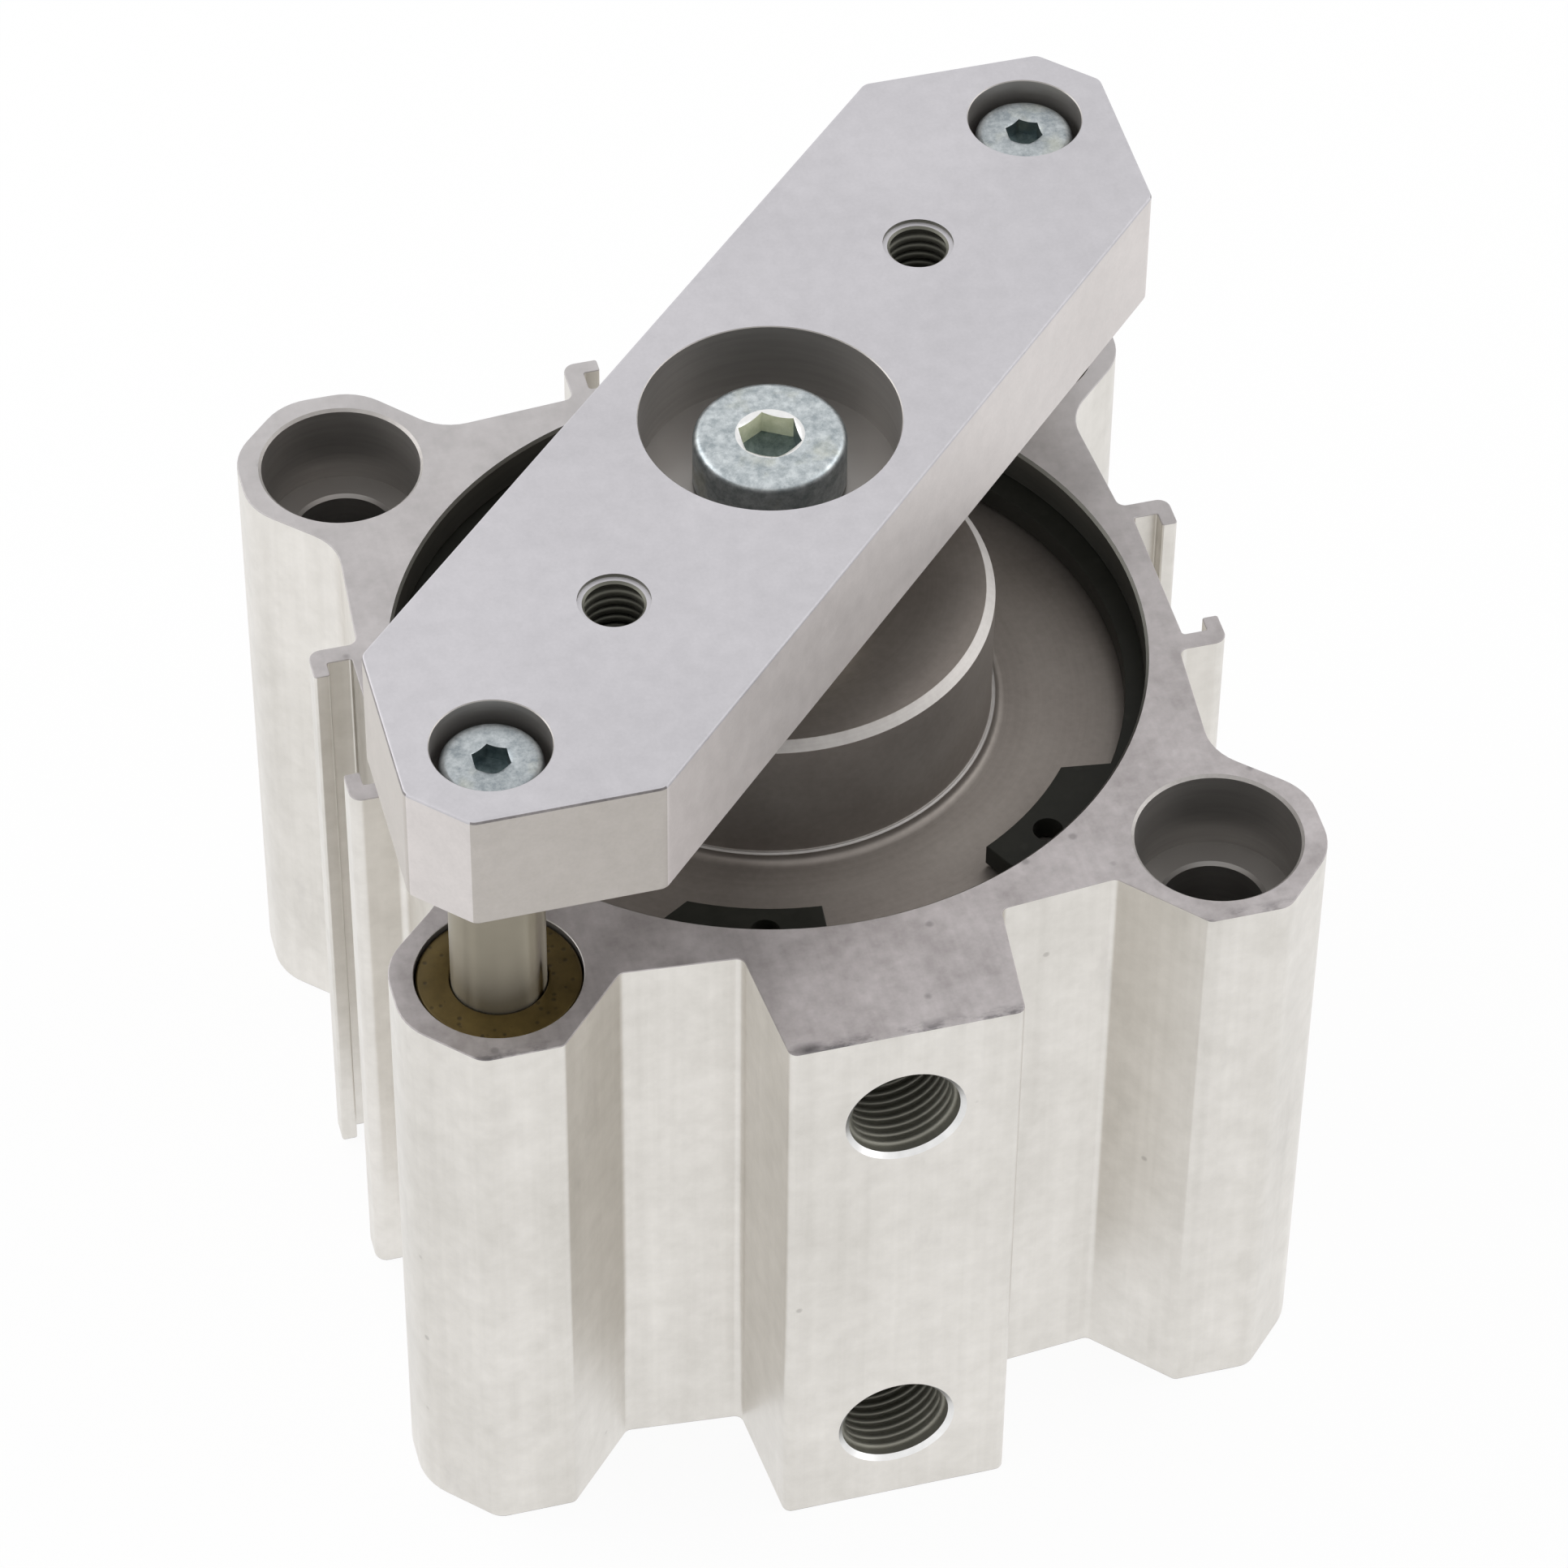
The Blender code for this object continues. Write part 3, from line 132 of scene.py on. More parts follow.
# %% The finish class
class Finish:
    """A material under construction. One method adds any node, and the rest build on it."""

    def __init__(self, name, **constants):
        self.material = bpy.data.materials.new(name)
        self.material.use_nodes = True
        self.tree = self.material.node_tree
        self.shader = self.tree.nodes["Principled BSDF"]
        for key, value in constants.items():
            self.feed(self.shader, key.replace("_", " ").title().replace("Ior", "IOR"), value)

    def feed(self, node, key, value):
        socket = find_socket(node.inputs, key)
        if isinstance(value, Value):
            self.tree.links.new(value.socket, socket)
        elif isinstance(value, tuple) and socket.type == "RGBA":
            socket.default_value = (*value, 1.0)
        else:
            socket.default_value = value

    def node(self, kind, settings=None, inputs=None, output=0):
        """Adds a node: its settings first, then the values or links of its inputs."""
        node = self.tree.nodes.new(kind)
        for key, value in (settings or {}).items():
            if key == "stops":
                self.set_stops(node.color_ramp, value)
            else:
                setattr(node, key, value)
        for key, value in (inputs or {}).items():
            self.feed(node, key, value)
        return Value(self, find_socket(node.outputs, output))

    def set_stops(self, ramp, stops):
        while len(ramp.elements) < len(stops):
            ramp.elements.new(1.0)
        for element, (position, shade) in zip(ramp.elements, stops):
            element.position = position
            element.color = (shade, shade, shade, 1.0)

    def place(self, stretch=(1.0, 1.0, 1.0)):
        """The object's own coordinates, stretched along each axis."""
        inside = self.node("ShaderNodeTexCoord", output="Object")
        settings = {"operation": "MULTIPLY"}
        return self.node("ShaderNodeVectorMath", settings, {0: inside, 1: Vector(stretch)})

    def noise(self, vector, scale, detail=3.0, roughness=0.55):
        inputs = {"Vector": vector, "Scale": scale, "Detail": detail, "Roughness": roughness}
        return self.node("ShaderNodeTexNoise", {}, inputs)

    def ramp(self, value, low, high, start=0.0, end=1.0):
        """Stretches a value from low..high to start..end and holds it there."""
        inputs = {"Value": value, "From Min": low, "From Max": high, "To Min": start, "To Max": end}
        return self.node("ShaderNodeMapRange", {"clamp": True}, inputs)

    def mix(self, factor, first, second):
        """Mixes two colours."""
        inputs = {"Factor_Float": factor, "A_Color": first, "B_Color": second}
        return self.node("ShaderNodeMix", {"data_type": "RGBA"}, inputs, "Result_Color")

    def specks(self, vector, scale, share, size=0.25):
        """Small sparse dots: cells of which only a share is marked, near their middle."""
        settings = {"feature": "F1"}
        spot = self.node("ShaderNodeTexVoronoi", settings, {"Vector": vector, "Scale": scale})
        near = self.ramp(spot, size * 0.5, size, 1.0, 0.0)
        shade = self.node("ShaderNodeTexVoronoi", settings, {"Vector": vector, "Scale": scale}, "Color")
        pick = self.node("ShaderNodeSeparateColor", {}, {"Color": shade})
        return near * pick.math("LESS_THAN", share)

    def use(self, colour=None, roughness=None, height=None, depth=0.02 * MM, strength=0.5):
        """Links what varies to the shader: colour, roughness and a bump height."""
        if colour is not None:
            self.feed(self.shader, "Base Color", colour)
        if roughness is not None:
            self.feed(self.shader, "Roughness", roughness)
        if height is not None:
            inputs = {"Height": height, "Distance": depth, "Strength": strength}
            self.feed(self.shader, "Normal", self.node("ShaderNodeBump", {}, inputs))
        return self.material


# %% [markdown]
# ## The extruded body's sides
# The body is an aluminium extrusion with a clear anodised layer. The die leaves faint lines along
# its length, and handling leaves small grey specks and rubbed patches. Stretching the noise along
# Z gives the die lines, and two slower noises give the cloudy, slightly warm white. The shader is
# fully metallic, because the sides get their light and dark from what they mirror.

# %% Finish of the extruded sides
def make_extruded_finish():
    finish = Finish("clear_anodised_extrusion", metallic=1.0)
    place = finish.place()
    lines = finish.noise(finish.place((1.0, 1.0, 0.02)), 1400.0, 2.0)
    broad_lines = finish.noise(finish.place((1.0, 1.0, 0.04)), 260.0, 2.0)
    clouds = finish.noise(place, 60.0, 4.0, 0.6)
    blots = finish.noise(place, 420.0, 4.0, 0.65)
    grain = finish.noise(place, 2600.0, 2.0)
    marks = finish.specks(place, 330.0, 0.09, 0.12)
    rubbed = finish.ramp(finish.noise(finish.place((1.0, 1.0, 0.35)), 140.0, 5.0, 0.7), 0.60, 0.74)
    tone = finish.ramp(clouds * 0.35 + broad_lines * 0.22 + lines * 0.13 + blots * 0.30, 0.35, 0.65)
    colour = finish.mix(tone, (0.645, 0.622, 0.581), (0.834, 0.809, 0.771))
    colour = finish.mix(rubbed * 0.25, colour, (0.48, 0.46, 0.44))
    colour = finish.mix(marks * 0.35, colour, (0.22, 0.20, 0.19))
    roughness = 0.25 + 0.14 * clouds + 0.08 * lines
    height = lines * 0.4 + grain * 0.35 + blots * 0.5 - marks * 0.4
    return finish.use(colour, roughness, height, 0.03 * MM, 0.35)


extruded_finish = make_extruded_finish()
print("made", extruded_finish.name)

# %% [markdown]
# ## Milled faces
# Both ends of the extrusion are milled after anodising, so they show bare, slightly violet grey
# metal. It is mottled, with small pits. Along the front edges a broken dark band is painted, with
# a dark blot at the port block's front left corner: painted shade along the burr there. Where a
# point lies is known from its object coordinates, so a ramp on the distance from those edges,
# broken up by noise, puts that painted shade there and nowhere else. The face is also painted
# lighter towards the back, so that its front, under the plate, stays darker: painted shade.

# %% Finish of the milled end faces
SHADED_CORNER_SPOT = (8.4 * MM, 45.4 * MM)


def make_milled_finish():
    finish = Finish("milled_end_face", metallic=0.6, specular_ior_level=0.5)
    place = finish.place()
    blotches = finish.noise(place, 190.0, 5.0, 0.68)
    fine = finish.noise(place, 900.0, 3.0, 0.6)
    arcs = finish.noise(finish.place((1.0, 0.06, 1.0)), 1500.0, 2.0)
    marks = finish.specks(place, 420.0, 0.10, 0.2)
    tone = finish.ramp(blotches * 0.6 + fine * 0.28 + arcs * 0.12, 0.36, 0.64)
    colour = finish.mix(tone, (0.345, 0.319, 0.318), (0.520, 0.487, 0.490))
    across = finish.node("ShaderNodeSeparateXYZ", {}, {0: place}, "X")
    along = finish.node("ShaderNodeSeparateXYZ", {}, {0: place}, "Y") - AXIS_Y
    # Painted light and shade: lighter towards the back, so the front, under the plate, stays darker.
    colour = finish.mix(finish.ramp(along, -20.0 * MM, 35.0 * MM, 0.0, 0.5), colour, (0.530, 0.520, 0.520))
    # Painted shade: a dark band along the front top edges, broken up by this noise.
    burr_shade_noise = finish.ramp(finish.noise(finish.place((0.5, 1.0, 1.0)), 520.0, 4.0, 0.7), 0.46, 0.60)
    on_boss = across.math("ABSOLUTE").math("GREATER_THAN", 20.0 * MM)
    at_block = finish.ramp(along, -45.7 * MM, -44.5 * MM, 1.0, 0.0)
    at_boss = finish.ramp(along, -40.0 * MM, -38.9 * MM, 1.0, 0.0) * on_boss
    colour = finish.mix((at_block + at_boss) * burr_shade_noise * 0.85, colour, (0.10, 0.095, 0.10))
    # Painted shade: a dark blot at the port block's front left corner.
    aside, inwards = (across + SHADED_CORNER_SPOT[0]) * 0.5, along + SHADED_CORNER_SPOT[1]
    from_corner = (aside * aside + inwards * inwards).math("SQRT")
    colour = finish.mix(finish.ramp(from_corner, 0.1 * MM, 1.0 * MM, 0.85, 0.0), colour, (0.07, 0.065, 0.068))
    colour = finish.mix(marks * 0.5, colour, (0.16, 0.15, 0.15))
    roughness = 0.34 + 0.18 * blotches
    height = arcs * 0.4 + fine * 0.4 - marks * 0.5
    return finish.use(colour, roughness, height, 0.03 * MM, 0.4)


milled_finish = make_milled_finish()
print("made", milled_finish.name)

# %% [markdown]
# ## Bored holes and recesses
# The tools that bore the holes leave fine rings round their walls. The holes look dark taupe,
# because they mirror their own shaded insides, and their colour is painted that dark too: painted
# shade. The tapped holes, their passages and the ports get still darker copies, more painted shade.
# The rings are noise that is stretched across X and Y and fine along Z, which suits holes that
# stand upright.

# %% Finish of the bored walls
def make_bored_finish(name, dark, light, roughness):
    finish = Finish(name, metallic=0.75, specular_ior_level=0.5)
    rings = finish.noise(finish.place((0.05, 0.05, 1.0)), 2400.0, 2.0)
    clouds = finish.noise(finish.place(), 120.0, 3.0)
    colour = finish.mix(rings * 0.6 + clouds * 0.4, dark, light)
    rough = roughness + 0.16 * clouds
    return finish.use(colour, rough, rings, 0.02 * MM, 0.5)


# Painted shade: the hole walls are coloured dark taupe.
bored_shade_finish = make_bored_finish("bored_wall", (0.240, 0.227, 0.216), (0.408, 0.390, 0.373), 0.28)
# Painted shade and painted reflection: the seat wall beside the black ring is coloured nearly black.
seat_shade_finish = make_bored_finish("cover_seat_wall", (0.075, 0.073, 0.064), (0.145, 0.142, 0.125), 0.27)
# Painted shade: darker still inside the tapped holes, the passages and the ports.
tapped_shade_finish = make_bored_finish("tapped_wall", (0.105, 0.104, 0.084), (0.17, 0.168, 0.142), 0.42)
port_shade_finish = make_bored_finish("port_wall", (0.180, 0.176, 0.146), (0.320, 0.312, 0.270), 0.42)
print("made", bored_shade_finish.name, seat_shade_finish.name, tapped_shade_finish.name, "and", port_shade_finish.name)

# %% [markdown]
# ## The guide plate
# The plate is blasted and clear anodised: a very even, fine grain with no direction. Its top
# looks cooler, and its long sides look warmer. The square ends get a darker copy of the finish,
# which is painted shade, and the bevel along their upper edge a still darker one, a painted
# shadow line. Each of these gets its own tone from one function.

# %% Finishes of the guide plate
def make_plate_finish(name, dark, light, metallic, roughness):
    finish = Finish(name, metallic=metallic, specular_ior_level=0.5)
    place = finish.place()
    grain = finish.noise(place, 3200.0, 2.0)
    clouds = finish.noise(place, 45.0, 3.0)
    fine = finish.noise(place, 600.0, 4.0, 0.6)
    marks = finish.specks(place, 260.0, 0.025, 0.12)
    tone = finish.ramp(clouds * 0.45 + fine * 0.35 + grain * 0.2, 0.36, 0.64)
    colour = finish.mix(tone, dark, light)
    colour = finish.mix(marks * 0.4, colour, (0.25, 0.24, 0.24))
    rough = roughness + 0.10 * fine
    return finish.use(colour, rough, grain * 0.6 + fine * 0.4, 0.025 * MM, 0.35)


plate_top_finish = make_plate_finish("plate_top", (0.500, 0.488, 0.512), (0.580, 0.566, 0.592), 0.8, 0.40)
plate_side_finish = make_plate_finish("plate_side", (0.590, 0.557, 0.545), (0.680, 0.643, 0.629), 0.64, 0.38)
# Painted shade: the square ends are coloured darker than the long sides.
plate_end_shade_finish = make_plate_finish("plate_end", (0.443, 0.413, 0.384), (0.521, 0.488, 0.458), 0.7, 0.42)
# Painted shadow: a dark line on the bevel along the square ends' upper edge.
plate_edge_shadow_finish = make_plate_finish("plate_burr", (0.130, 0.120, 0.120), (0.300, 0.280, 0.280), 0.6, 0.40)
print("made four plate finishes")

# %% [markdown]
# ## The dark cover and its bright edges
# The front cover is anodised in a dull brownish grey. Its turned lines run round the axis, so the
# noise follows the distance from that axis. Where the last cut broke its edges, bare
# aluminium shines through as thin bright rings.

# %% Finishes of the covers
def distance_from_axis(finish, axis_y):
    """How far a point lies from the cylinder's axis, from its object coordinates."""
    across = finish.node("ShaderNodeSeparateXYZ", {}, {0: finish.place()}, "X")
    along = finish.node("ShaderNodeSeparateXYZ", {}, {0: finish.place()}, "Y") - axis_y
    return (across * across + along * along).math("SQRT")


def make_cover_finish(name, dark, light, metallic, roughness, axis_y):
    finish = Finish(name, metallic=metallic, specular_ior_level=0.5)
    radius = distance_from_axis(finish, axis_y)
    line_place = finish.node("ShaderNodeCombineXYZ", {}, {"X": radius})
    lines = finish.noise(line_place, 2600.0, 3.0, 0.7)
    bands = finish.noise(line_place, 240.0, 2.0)
    clouds = finish.noise(finish.place(), 90.0, 4.0, 0.6)
    fine = finish.noise(finish.place(), 1500.0, 3.0)
    tone = finish.ramp(clouds * 0.4 + bands * 0.2 + lines * 0.2 + fine * 0.2, 0.38, 0.62)
    colour = finish.mix(tone, dark, light)
    rough = roughness + 0.12 * clouds + 0.05 * lines
    return finish.use(colour, rough, lines * 0.5 + fine * 0.5, 0.02 * MM, 0.35)


cover_finish = make_cover_finish(
    "brown_grey_anodised", (0.208, 0.184, 0.166), (0.272, 0.247, 0.224), 0.75, 0.38, AXIS_Y)
bright_finish = make_cover_finish(
    "bright_turned_edge", (0.34, 0.322, 0.308), (0.46, 0.44, 0.424), 0.8, 0.45, AXIS_Y)
machined_finish = make_cover_finish(
    "machined_bevel", (0.70, 0.698, 0.692), (0.88, 0.878, 0.872), 1.0, 0.26, AXIS_Y)
turned_finish = make_cover_finish(
    "turned_aluminium", (0.50, 0.495, 0.49), (0.64, 0.635, 0.63), 0.85, 0.28, AXIS_Y)
print("made", cover_finish.name, bright_finish.name, "and", turned_finish.name)

# %% [markdown]
# ## Steel, bronze and rubber
# The small parts need few nodes each. Ground chrome is nearly a mirror with hair lines round the
# rod. The guide rods are ground more coarsely, so their reflections are stretched along the rod;
# their colour is painted dark and beige, a painted reflection of a darker, beige surrounding.
# Zinc plating is a bluish, cloudy mirror that turns a little yellow in places. Sintered bronze is
# dark with oil and full of pores. The spring steel ring is black with phosphate.

# %% Finishes of the steel parts
def make_ground_finish(name, dark, light, roughness, stretch=0.0):
    finish = Finish(name, metallic=1.0, anisotropic=stretch, anisotropic_rotation=0.25)
    rings = finish.noise(finish.place((0.05, 0.05, 1.0)), 5200.0, 2.0)
    clouds = finish.noise(finish.place(), 160.0, 2.0)
    colour = finish.mix(clouds, dark, light)
    return finish.use(colour, roughness + 0.05 * rings, rings, 0.001 * MM, 0.1)


def make_zinc_finish(name, dark, light, roughness, metallic=0.85):
    finish = Finish(name, metallic=metallic, specular_ior_level=0.6)
    place = finish.place()
    clouds = finish.noise(place, 900.0, 4.0, 0.75)
    fine = finish.noise(place, 2600.0, 3.0)
    warm = finish.ramp(finish.noise(place, 260.0, 3.0), 0.56, 0.70)
    colour = finish.mix(finish.ramp(clouds, 0.36, 0.64), dark, light)
    colour = finish.mix(warm * 0.3, colour, (0.50, 0.49, 0.34))
    return finish.use(colour, roughness + 0.18 * clouds, fine * 0.4 + clouds * 0.6, 0.03 * MM, 0.5)


def make_spring_finish():
    finish = Finish("phosphated_spring_steel", metallic=0.1, specular_ior_level=0.12)
    place = finish.place()
    clouds = finish.noise(place, 380.0, 4.0, 0.7)
    specks = finish.specks(place, 700.0, 0.2, 0.3)
    colour = finish.mix(clouds, (0.010, 0.0101, 0.0083), (0.026, 0.0263, 0.0218))
    colour = finish.mix(specks * 0.2, colour, (0.04, 0.042, 0.035))
    return finish.use(colour, 0.34 + 0.2 * clouds, clouds, 0.02 * MM, 0.4)


def make_bronze_finish():
    finish = Finish("oiled_sintered_bronze", metallic=0.7, coat_weight=0.1, coat_roughness=0.25)
    place = finish.place()
    pores = finish.specks(place, 1500.0, 0.5, 0.4)
    clouds = finish.noise(place, 500.0, 4.0, 0.7)
    colour = finish.mix(clouds, (0.055, 0.037, 0.010), (0.150, 0.104, 0.029))
    colour = finish.mix(pores * 0.6, colour, (0.02, 0.014, 0.006))
    return finish.use(colour, 0.34 + 0.22 * clouds, clouds * 0.5 - pores, 0.03 * MM, 0.5)


chrome_finish = make_ground_finish("ground_chrome", (0.62, 0.595, 0.53), (0.72, 0.695, 0.63), 0.09)
# Painted reflection: the guide rods are coloured darker and warmer than the chrome rod.
guide_reflection_finish = make_ground_finish("ground_guide_steel", (0.240, 0.218, 0.170), (0.315, 0.288, 0.232), 0.29, 0.94)
zinc_finish = make_zinc_finish("zinc_plated_steel", (0.32, 0.36, 0.38), (0.61, 0.65, 0.665), 0.26)
# Painted shade: a darker copy of the zinc plating for the guide screws, which sit deeper in their counterbores.
shaded_zinc_finish = make_zinc_finish("duller_zinc_plating", (0.275, 0.308, 0.328), (0.52, 0.554, 0.57), 0.30)
# Painted light on the socket's back walls, and painted shade on its other walls and floor.
socket_lit_wall_finish = make_zinc_finish("zinc_plated_socket", (0.66, 0.69, 0.46), (0.82, 0.84, 0.61), 0.30, 0.15)
socket_shade_finish = make_zinc_finish("socket_floor", (0.10, 0.135, 0.145), (0.21, 0.26, 0.265), 0.30)
spring_finish = make_spring_finish()
bronze_finish = make_bronze_finish()
print("made", chrome_finish.name, guide_reflection_finish.name, zinc_finish.name, spring_finish.name, bronze_finish.name)


# %% Finishes of the soft and inner parts
def make_moulded_finish(name, dark, light, roughness):
    """Rubber or plastic: an even colour with a fine moulded grain."""
    finish = Finish(name, metallic=0.0, specular_ior_level=0.4)
    grain = finish.noise(finish.place(), 1800.0, 3.0)
    clouds = finish.noise(finish.place(), 200.0, 3.0)
    colour = finish.mix(clouds, dark, light)
    return finish.use(colour, roughness + 0.15 * grain, grain, 0.02 * MM, 0.4)


seal_finish = make_moulded_finish("nitrile_rubber", (0.012, 0.012, 0.012), (0.026, 0.025, 0.024), 0.45)
bumper_finish = make_moulded_finish("polyurethane", (0.26, 0.21, 0.08), (0.34, 0.27, 0.11), 0.35)
magnet_finish = make_moulded_finish("bonded_magnet", (0.05, 0.048, 0.048), (0.08, 0.075, 0.074), 0.45)
bearing_finish = make_moulded_finish("bearing_plastic", (0.10, 0.08, 0.06), (0.15, 0.12, 0.09), 0.35)
print("made", seal_finish.name, bumper_finish.name, magnet_finish.name, bearing_finish.name)

# %% [markdown]
# ## Helpers for turned and extruded shapes
# Most pieces are turned, so a profile of radius and height points is spun round an upright axis.
# Each corner of a profile carries a small radius, because a real machined edge is never quite
# sharp, and that tiny round is what catches the light. The body and the plate are outlines that
# are extruded, edge-broken and then drilled with Boolean cutters.

# %% Round the corners of an outline
ROUND_STEPS = 3


def rounded(points, closed=True, steps=ROUND_STEPS):
    """Rounds the corners of an outline of (x, y, radius) points."""
    outline = []
    last = len(points) - 1
    for index, (x, y, radius) in enumerate(points):
        corner = Vector((x, y))
        if radius == 0.0 or (not closed and index in (0, last)):
            outline.append(corner)
            continue
        before = (Vector(points[index - 1][:2]) - corner).normalized()
        after = (Vector(points[(index + 1) % len(points)][:2]) - corner).normalized()
        half = before.angle(after) / 2
        centre = corner + (before + after).normalized() * radius / math.sin(half)
        start = corner + before * radius / math.tan(half) - centre
        end = corner + after * radius / math.tan(half) - centre
        first = math.atan2(start.y, start.x)
        sweep = (math.atan2(end.y, end.x) - first + math.pi) % math.tau - math.pi
        for step in range(steps + 1):
            angle = first + sweep * step / steps
            outline.append(centre + radius * Vector((math.cos(angle), math.sin(angle))))
    return outline


# %% Spin a profile, extrude an outline
WELD = 0.0005 * MM
SHARP_ANGLE = math.radians(35.0)
made_pieces = []


def add_piece(name, mesh, *finishes):
    piece = bpy.data.objects.new(name, mesh)
    bpy.context.scene.collection.objects.link(piece)
    mesh.materials.clear()
    for finish in finishes:
        mesh.materials.append(finish)
    mesh.shade_smooth()
    mesh.set_sharp_from_angle(angle=SHARP_ANGLE)
    return piece


def mesh_from(shape, name):
    """Turns a bmesh into a mesh, with its faces pointing out."""
    bmesh.ops.recalc_face_normals(shape, faces=shape.faces)
    mesh = bpy.data.meshes.new(name)
    shape.to_mesh(mesh)
    shape.free()
    return mesh


def turned(name, profile, *finishes, steps=96, at=(0.0, AXIS_Y)):
    """Spins (radius, height) points round an upright axis. Off the axis, they close to a ring."""
    shape = bmesh.new()
    corners = [shape.verts.new((max(radius, 0.0), 0.0, height)) for radius, height in profile]
    edges = [shape.edges.new(pair) for pair in zip(corners, corners[1:])]
    if profile[0][0] > WELD or profile[-1][0] > WELD:
        edges.append(shape.edges.new((corners[-1], corners[0])))
    bmesh.ops.spin(shape, geom=corners + edges, cent=(0.0, 0.0, 0.0), axis=(0.0, 0.0, 1.0),
                   angle=math.tau, steps=steps, use_duplicate=False)
    bmesh.ops.remove_doubles(shape, verts=shape.verts, dist=WELD)
    bmesh.ops.translate(shape, verts=shape.verts, vec=(at[0], at[1], 0.0))
    return add_piece(name, mesh_from(shape, name), *finishes)


def extruded(name, outline, low, high, *finishes, edge=0.0):
    """Extrudes an outline between two heights and breaks its two rims."""
    shape = bmesh.new()
    corners = [shape.verts.new((x, y + AXIS_Y, low)) for x, y in outline]
    base = shape.faces.new(corners)
    raised = bmesh.ops.extrude_face_region(shape, geom=[base])
    tops = [item for item in raised["geom"] if isinstance(item, bmesh.types.BMVert)]
    bmesh.ops.translate(shape, verts=tops, vec=(0.0, 0.0, high - low))
    if edge:
        rims = [e for e in shape.edges if abs(e.verts[0].co.z - e.verts[1].co.z) < WELD]
        bmesh.ops.bevel(shape, geom=rims, offset=edge, segments=2, profile=0.5, affect="EDGES")
    return add_piece(name, mesh_from(shape, name), *finishes)


# %% Drill a piece, and paint its faces
def baked(piece):
    """Replaces a piece's mesh by what its modifiers make of it."""
    bpy.context.view_layer.update()
    graph = bpy.context.evaluated_depsgraph_get()
    mesh = bpy.data.meshes.new_from_object(piece.evaluated_get(graph))
    piece.modifiers.clear()
    piece.data = mesh
    mesh.name = piece.name
    return piece


def drilled(piece, *cutters):
    """Cuts each cutter out of the piece. The new faces keep the finish of their cutter."""
    for cutter in cutters:
        cut = piece.modifiers.new(cutter.name, "BOOLEAN")
        cut.operation = "DIFFERENCE"
        cut.solver = "EXACT"
        cut.material_mode = "TRANSFER"
        cut.object = cutter
    baked(piece)
    for cutter in cutters:
        bpy.data.objects.remove(cutter, do_unlink=True)
    piece.data.shade_smooth()
    piece.data.set_sharp_from_angle(angle=SHARP_ANGLE)
    even = piece.modifiers.new("even", "WEIGHTED_NORMAL")
    even.keep_sharp = True
    return baked(piece)


def paint(piece, rule):
    """Gives each face the material slot that the rule picks from its centre and normal."""
    for face in piece.data.polygons:
        face.material_index = rule(face.center, face.normal)


def settle(piece, body, slot, *nodes):
    """Hands a finished piece to the frame: what it rides on and what it replaces. The slot is not used."""
    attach(piece, body)
    if nodes:
        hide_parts(*nodes)
    made_pieces.append(piece)
    print(piece.name, "has", len(piece.data.polygons), "faces")


# %% [markdown]
# ## The sizes
# The same named sizes as in the solid model, in metres from the rear face up. Only the ones that
# a visible surface needs are repeated.

# %% Sizes of the body and covers
CORNER = 31.0 * MM
BODY_HALF = 40.0 * MM
BODY_HEIGHT = 61.4 * MM
CORNER_CHAMFER = 5.5 * MM
BOSS_FLAT_START = 27.6 * MM
BOSS_FLANK_RUN = 6.3 * MM
WALL_AT_BOSS = 33.4 * MM
WALL_AT_MIDDLE = 34.3 * MM
EDGE_RADIUS = 0.8 * MM
CHAMFER_EDGE_RADIUS = 2.0 * MM
BOSS_EDGE_RADIUS = 5.5 * MM
BOSS_FOOT_RADIUS = 5.0 * MM
SLOT_OUTER = 38.7 * MM
SLOT_FLOOR = 35.1 * MM
SLOT_HALF_WIDTH = 7.4 * MM
SLOT_MOUTH_HALF = 5.9 * MM
SLOT_LIP = 9.1 * MM
SLOT_HOOK = 1.4 * MM
SLOT_LIP_RADIUS = 1.1 * MM
PORT_FACE = 45.7 * MM
PORT_BLOCK_HALF = 10.0 * MM
PORT_BLOCK_FOOT = 11.1 * MM
PORT_FLOOR = 35.2 * MM
FRONT_PORT_HEIGHT = 50.9 * MM
REAR_PORT_HEIGHT = 9.7 * MM
COUNTERBORE_RADIUS = 7.05 * MM
COUNTERBORE_DEPTH = 8.2 * MM
THROUGH_RADIUS = 4.5 * MM
THROUGH_CHAMFER = 0.3 * MM
RIM = 0.25 * MM
BORE_RADIUS = 31.5 * MM
COVER_SEAT_RADIUS = 32.6 * MM
RING_GROOVE_RADIUS = 33.7 * MM
COVER_RECESS = 6.0 * MM
COVER_FLANGE = 5.0 * MM
OVERRUN = 2.0 * MM
PAIR = {"front_left": (-CORNER, -CORNER), "back_right": (CORNER, CORNER)}
print("corner holes are", 2 * CORNER / MM, "mm apart")

# %% [markdown]
# ## The body
# The section has four corner bosses, a port block in front, and a hooked slot for position
# sensors on each other side. It is drawn a quarter at a time and turned, because the four sides
# differ in their middle. The bosses are rounded towards the slots, and nearly sharp beside the
# port block. Corners get six steps here where the solid model has two.

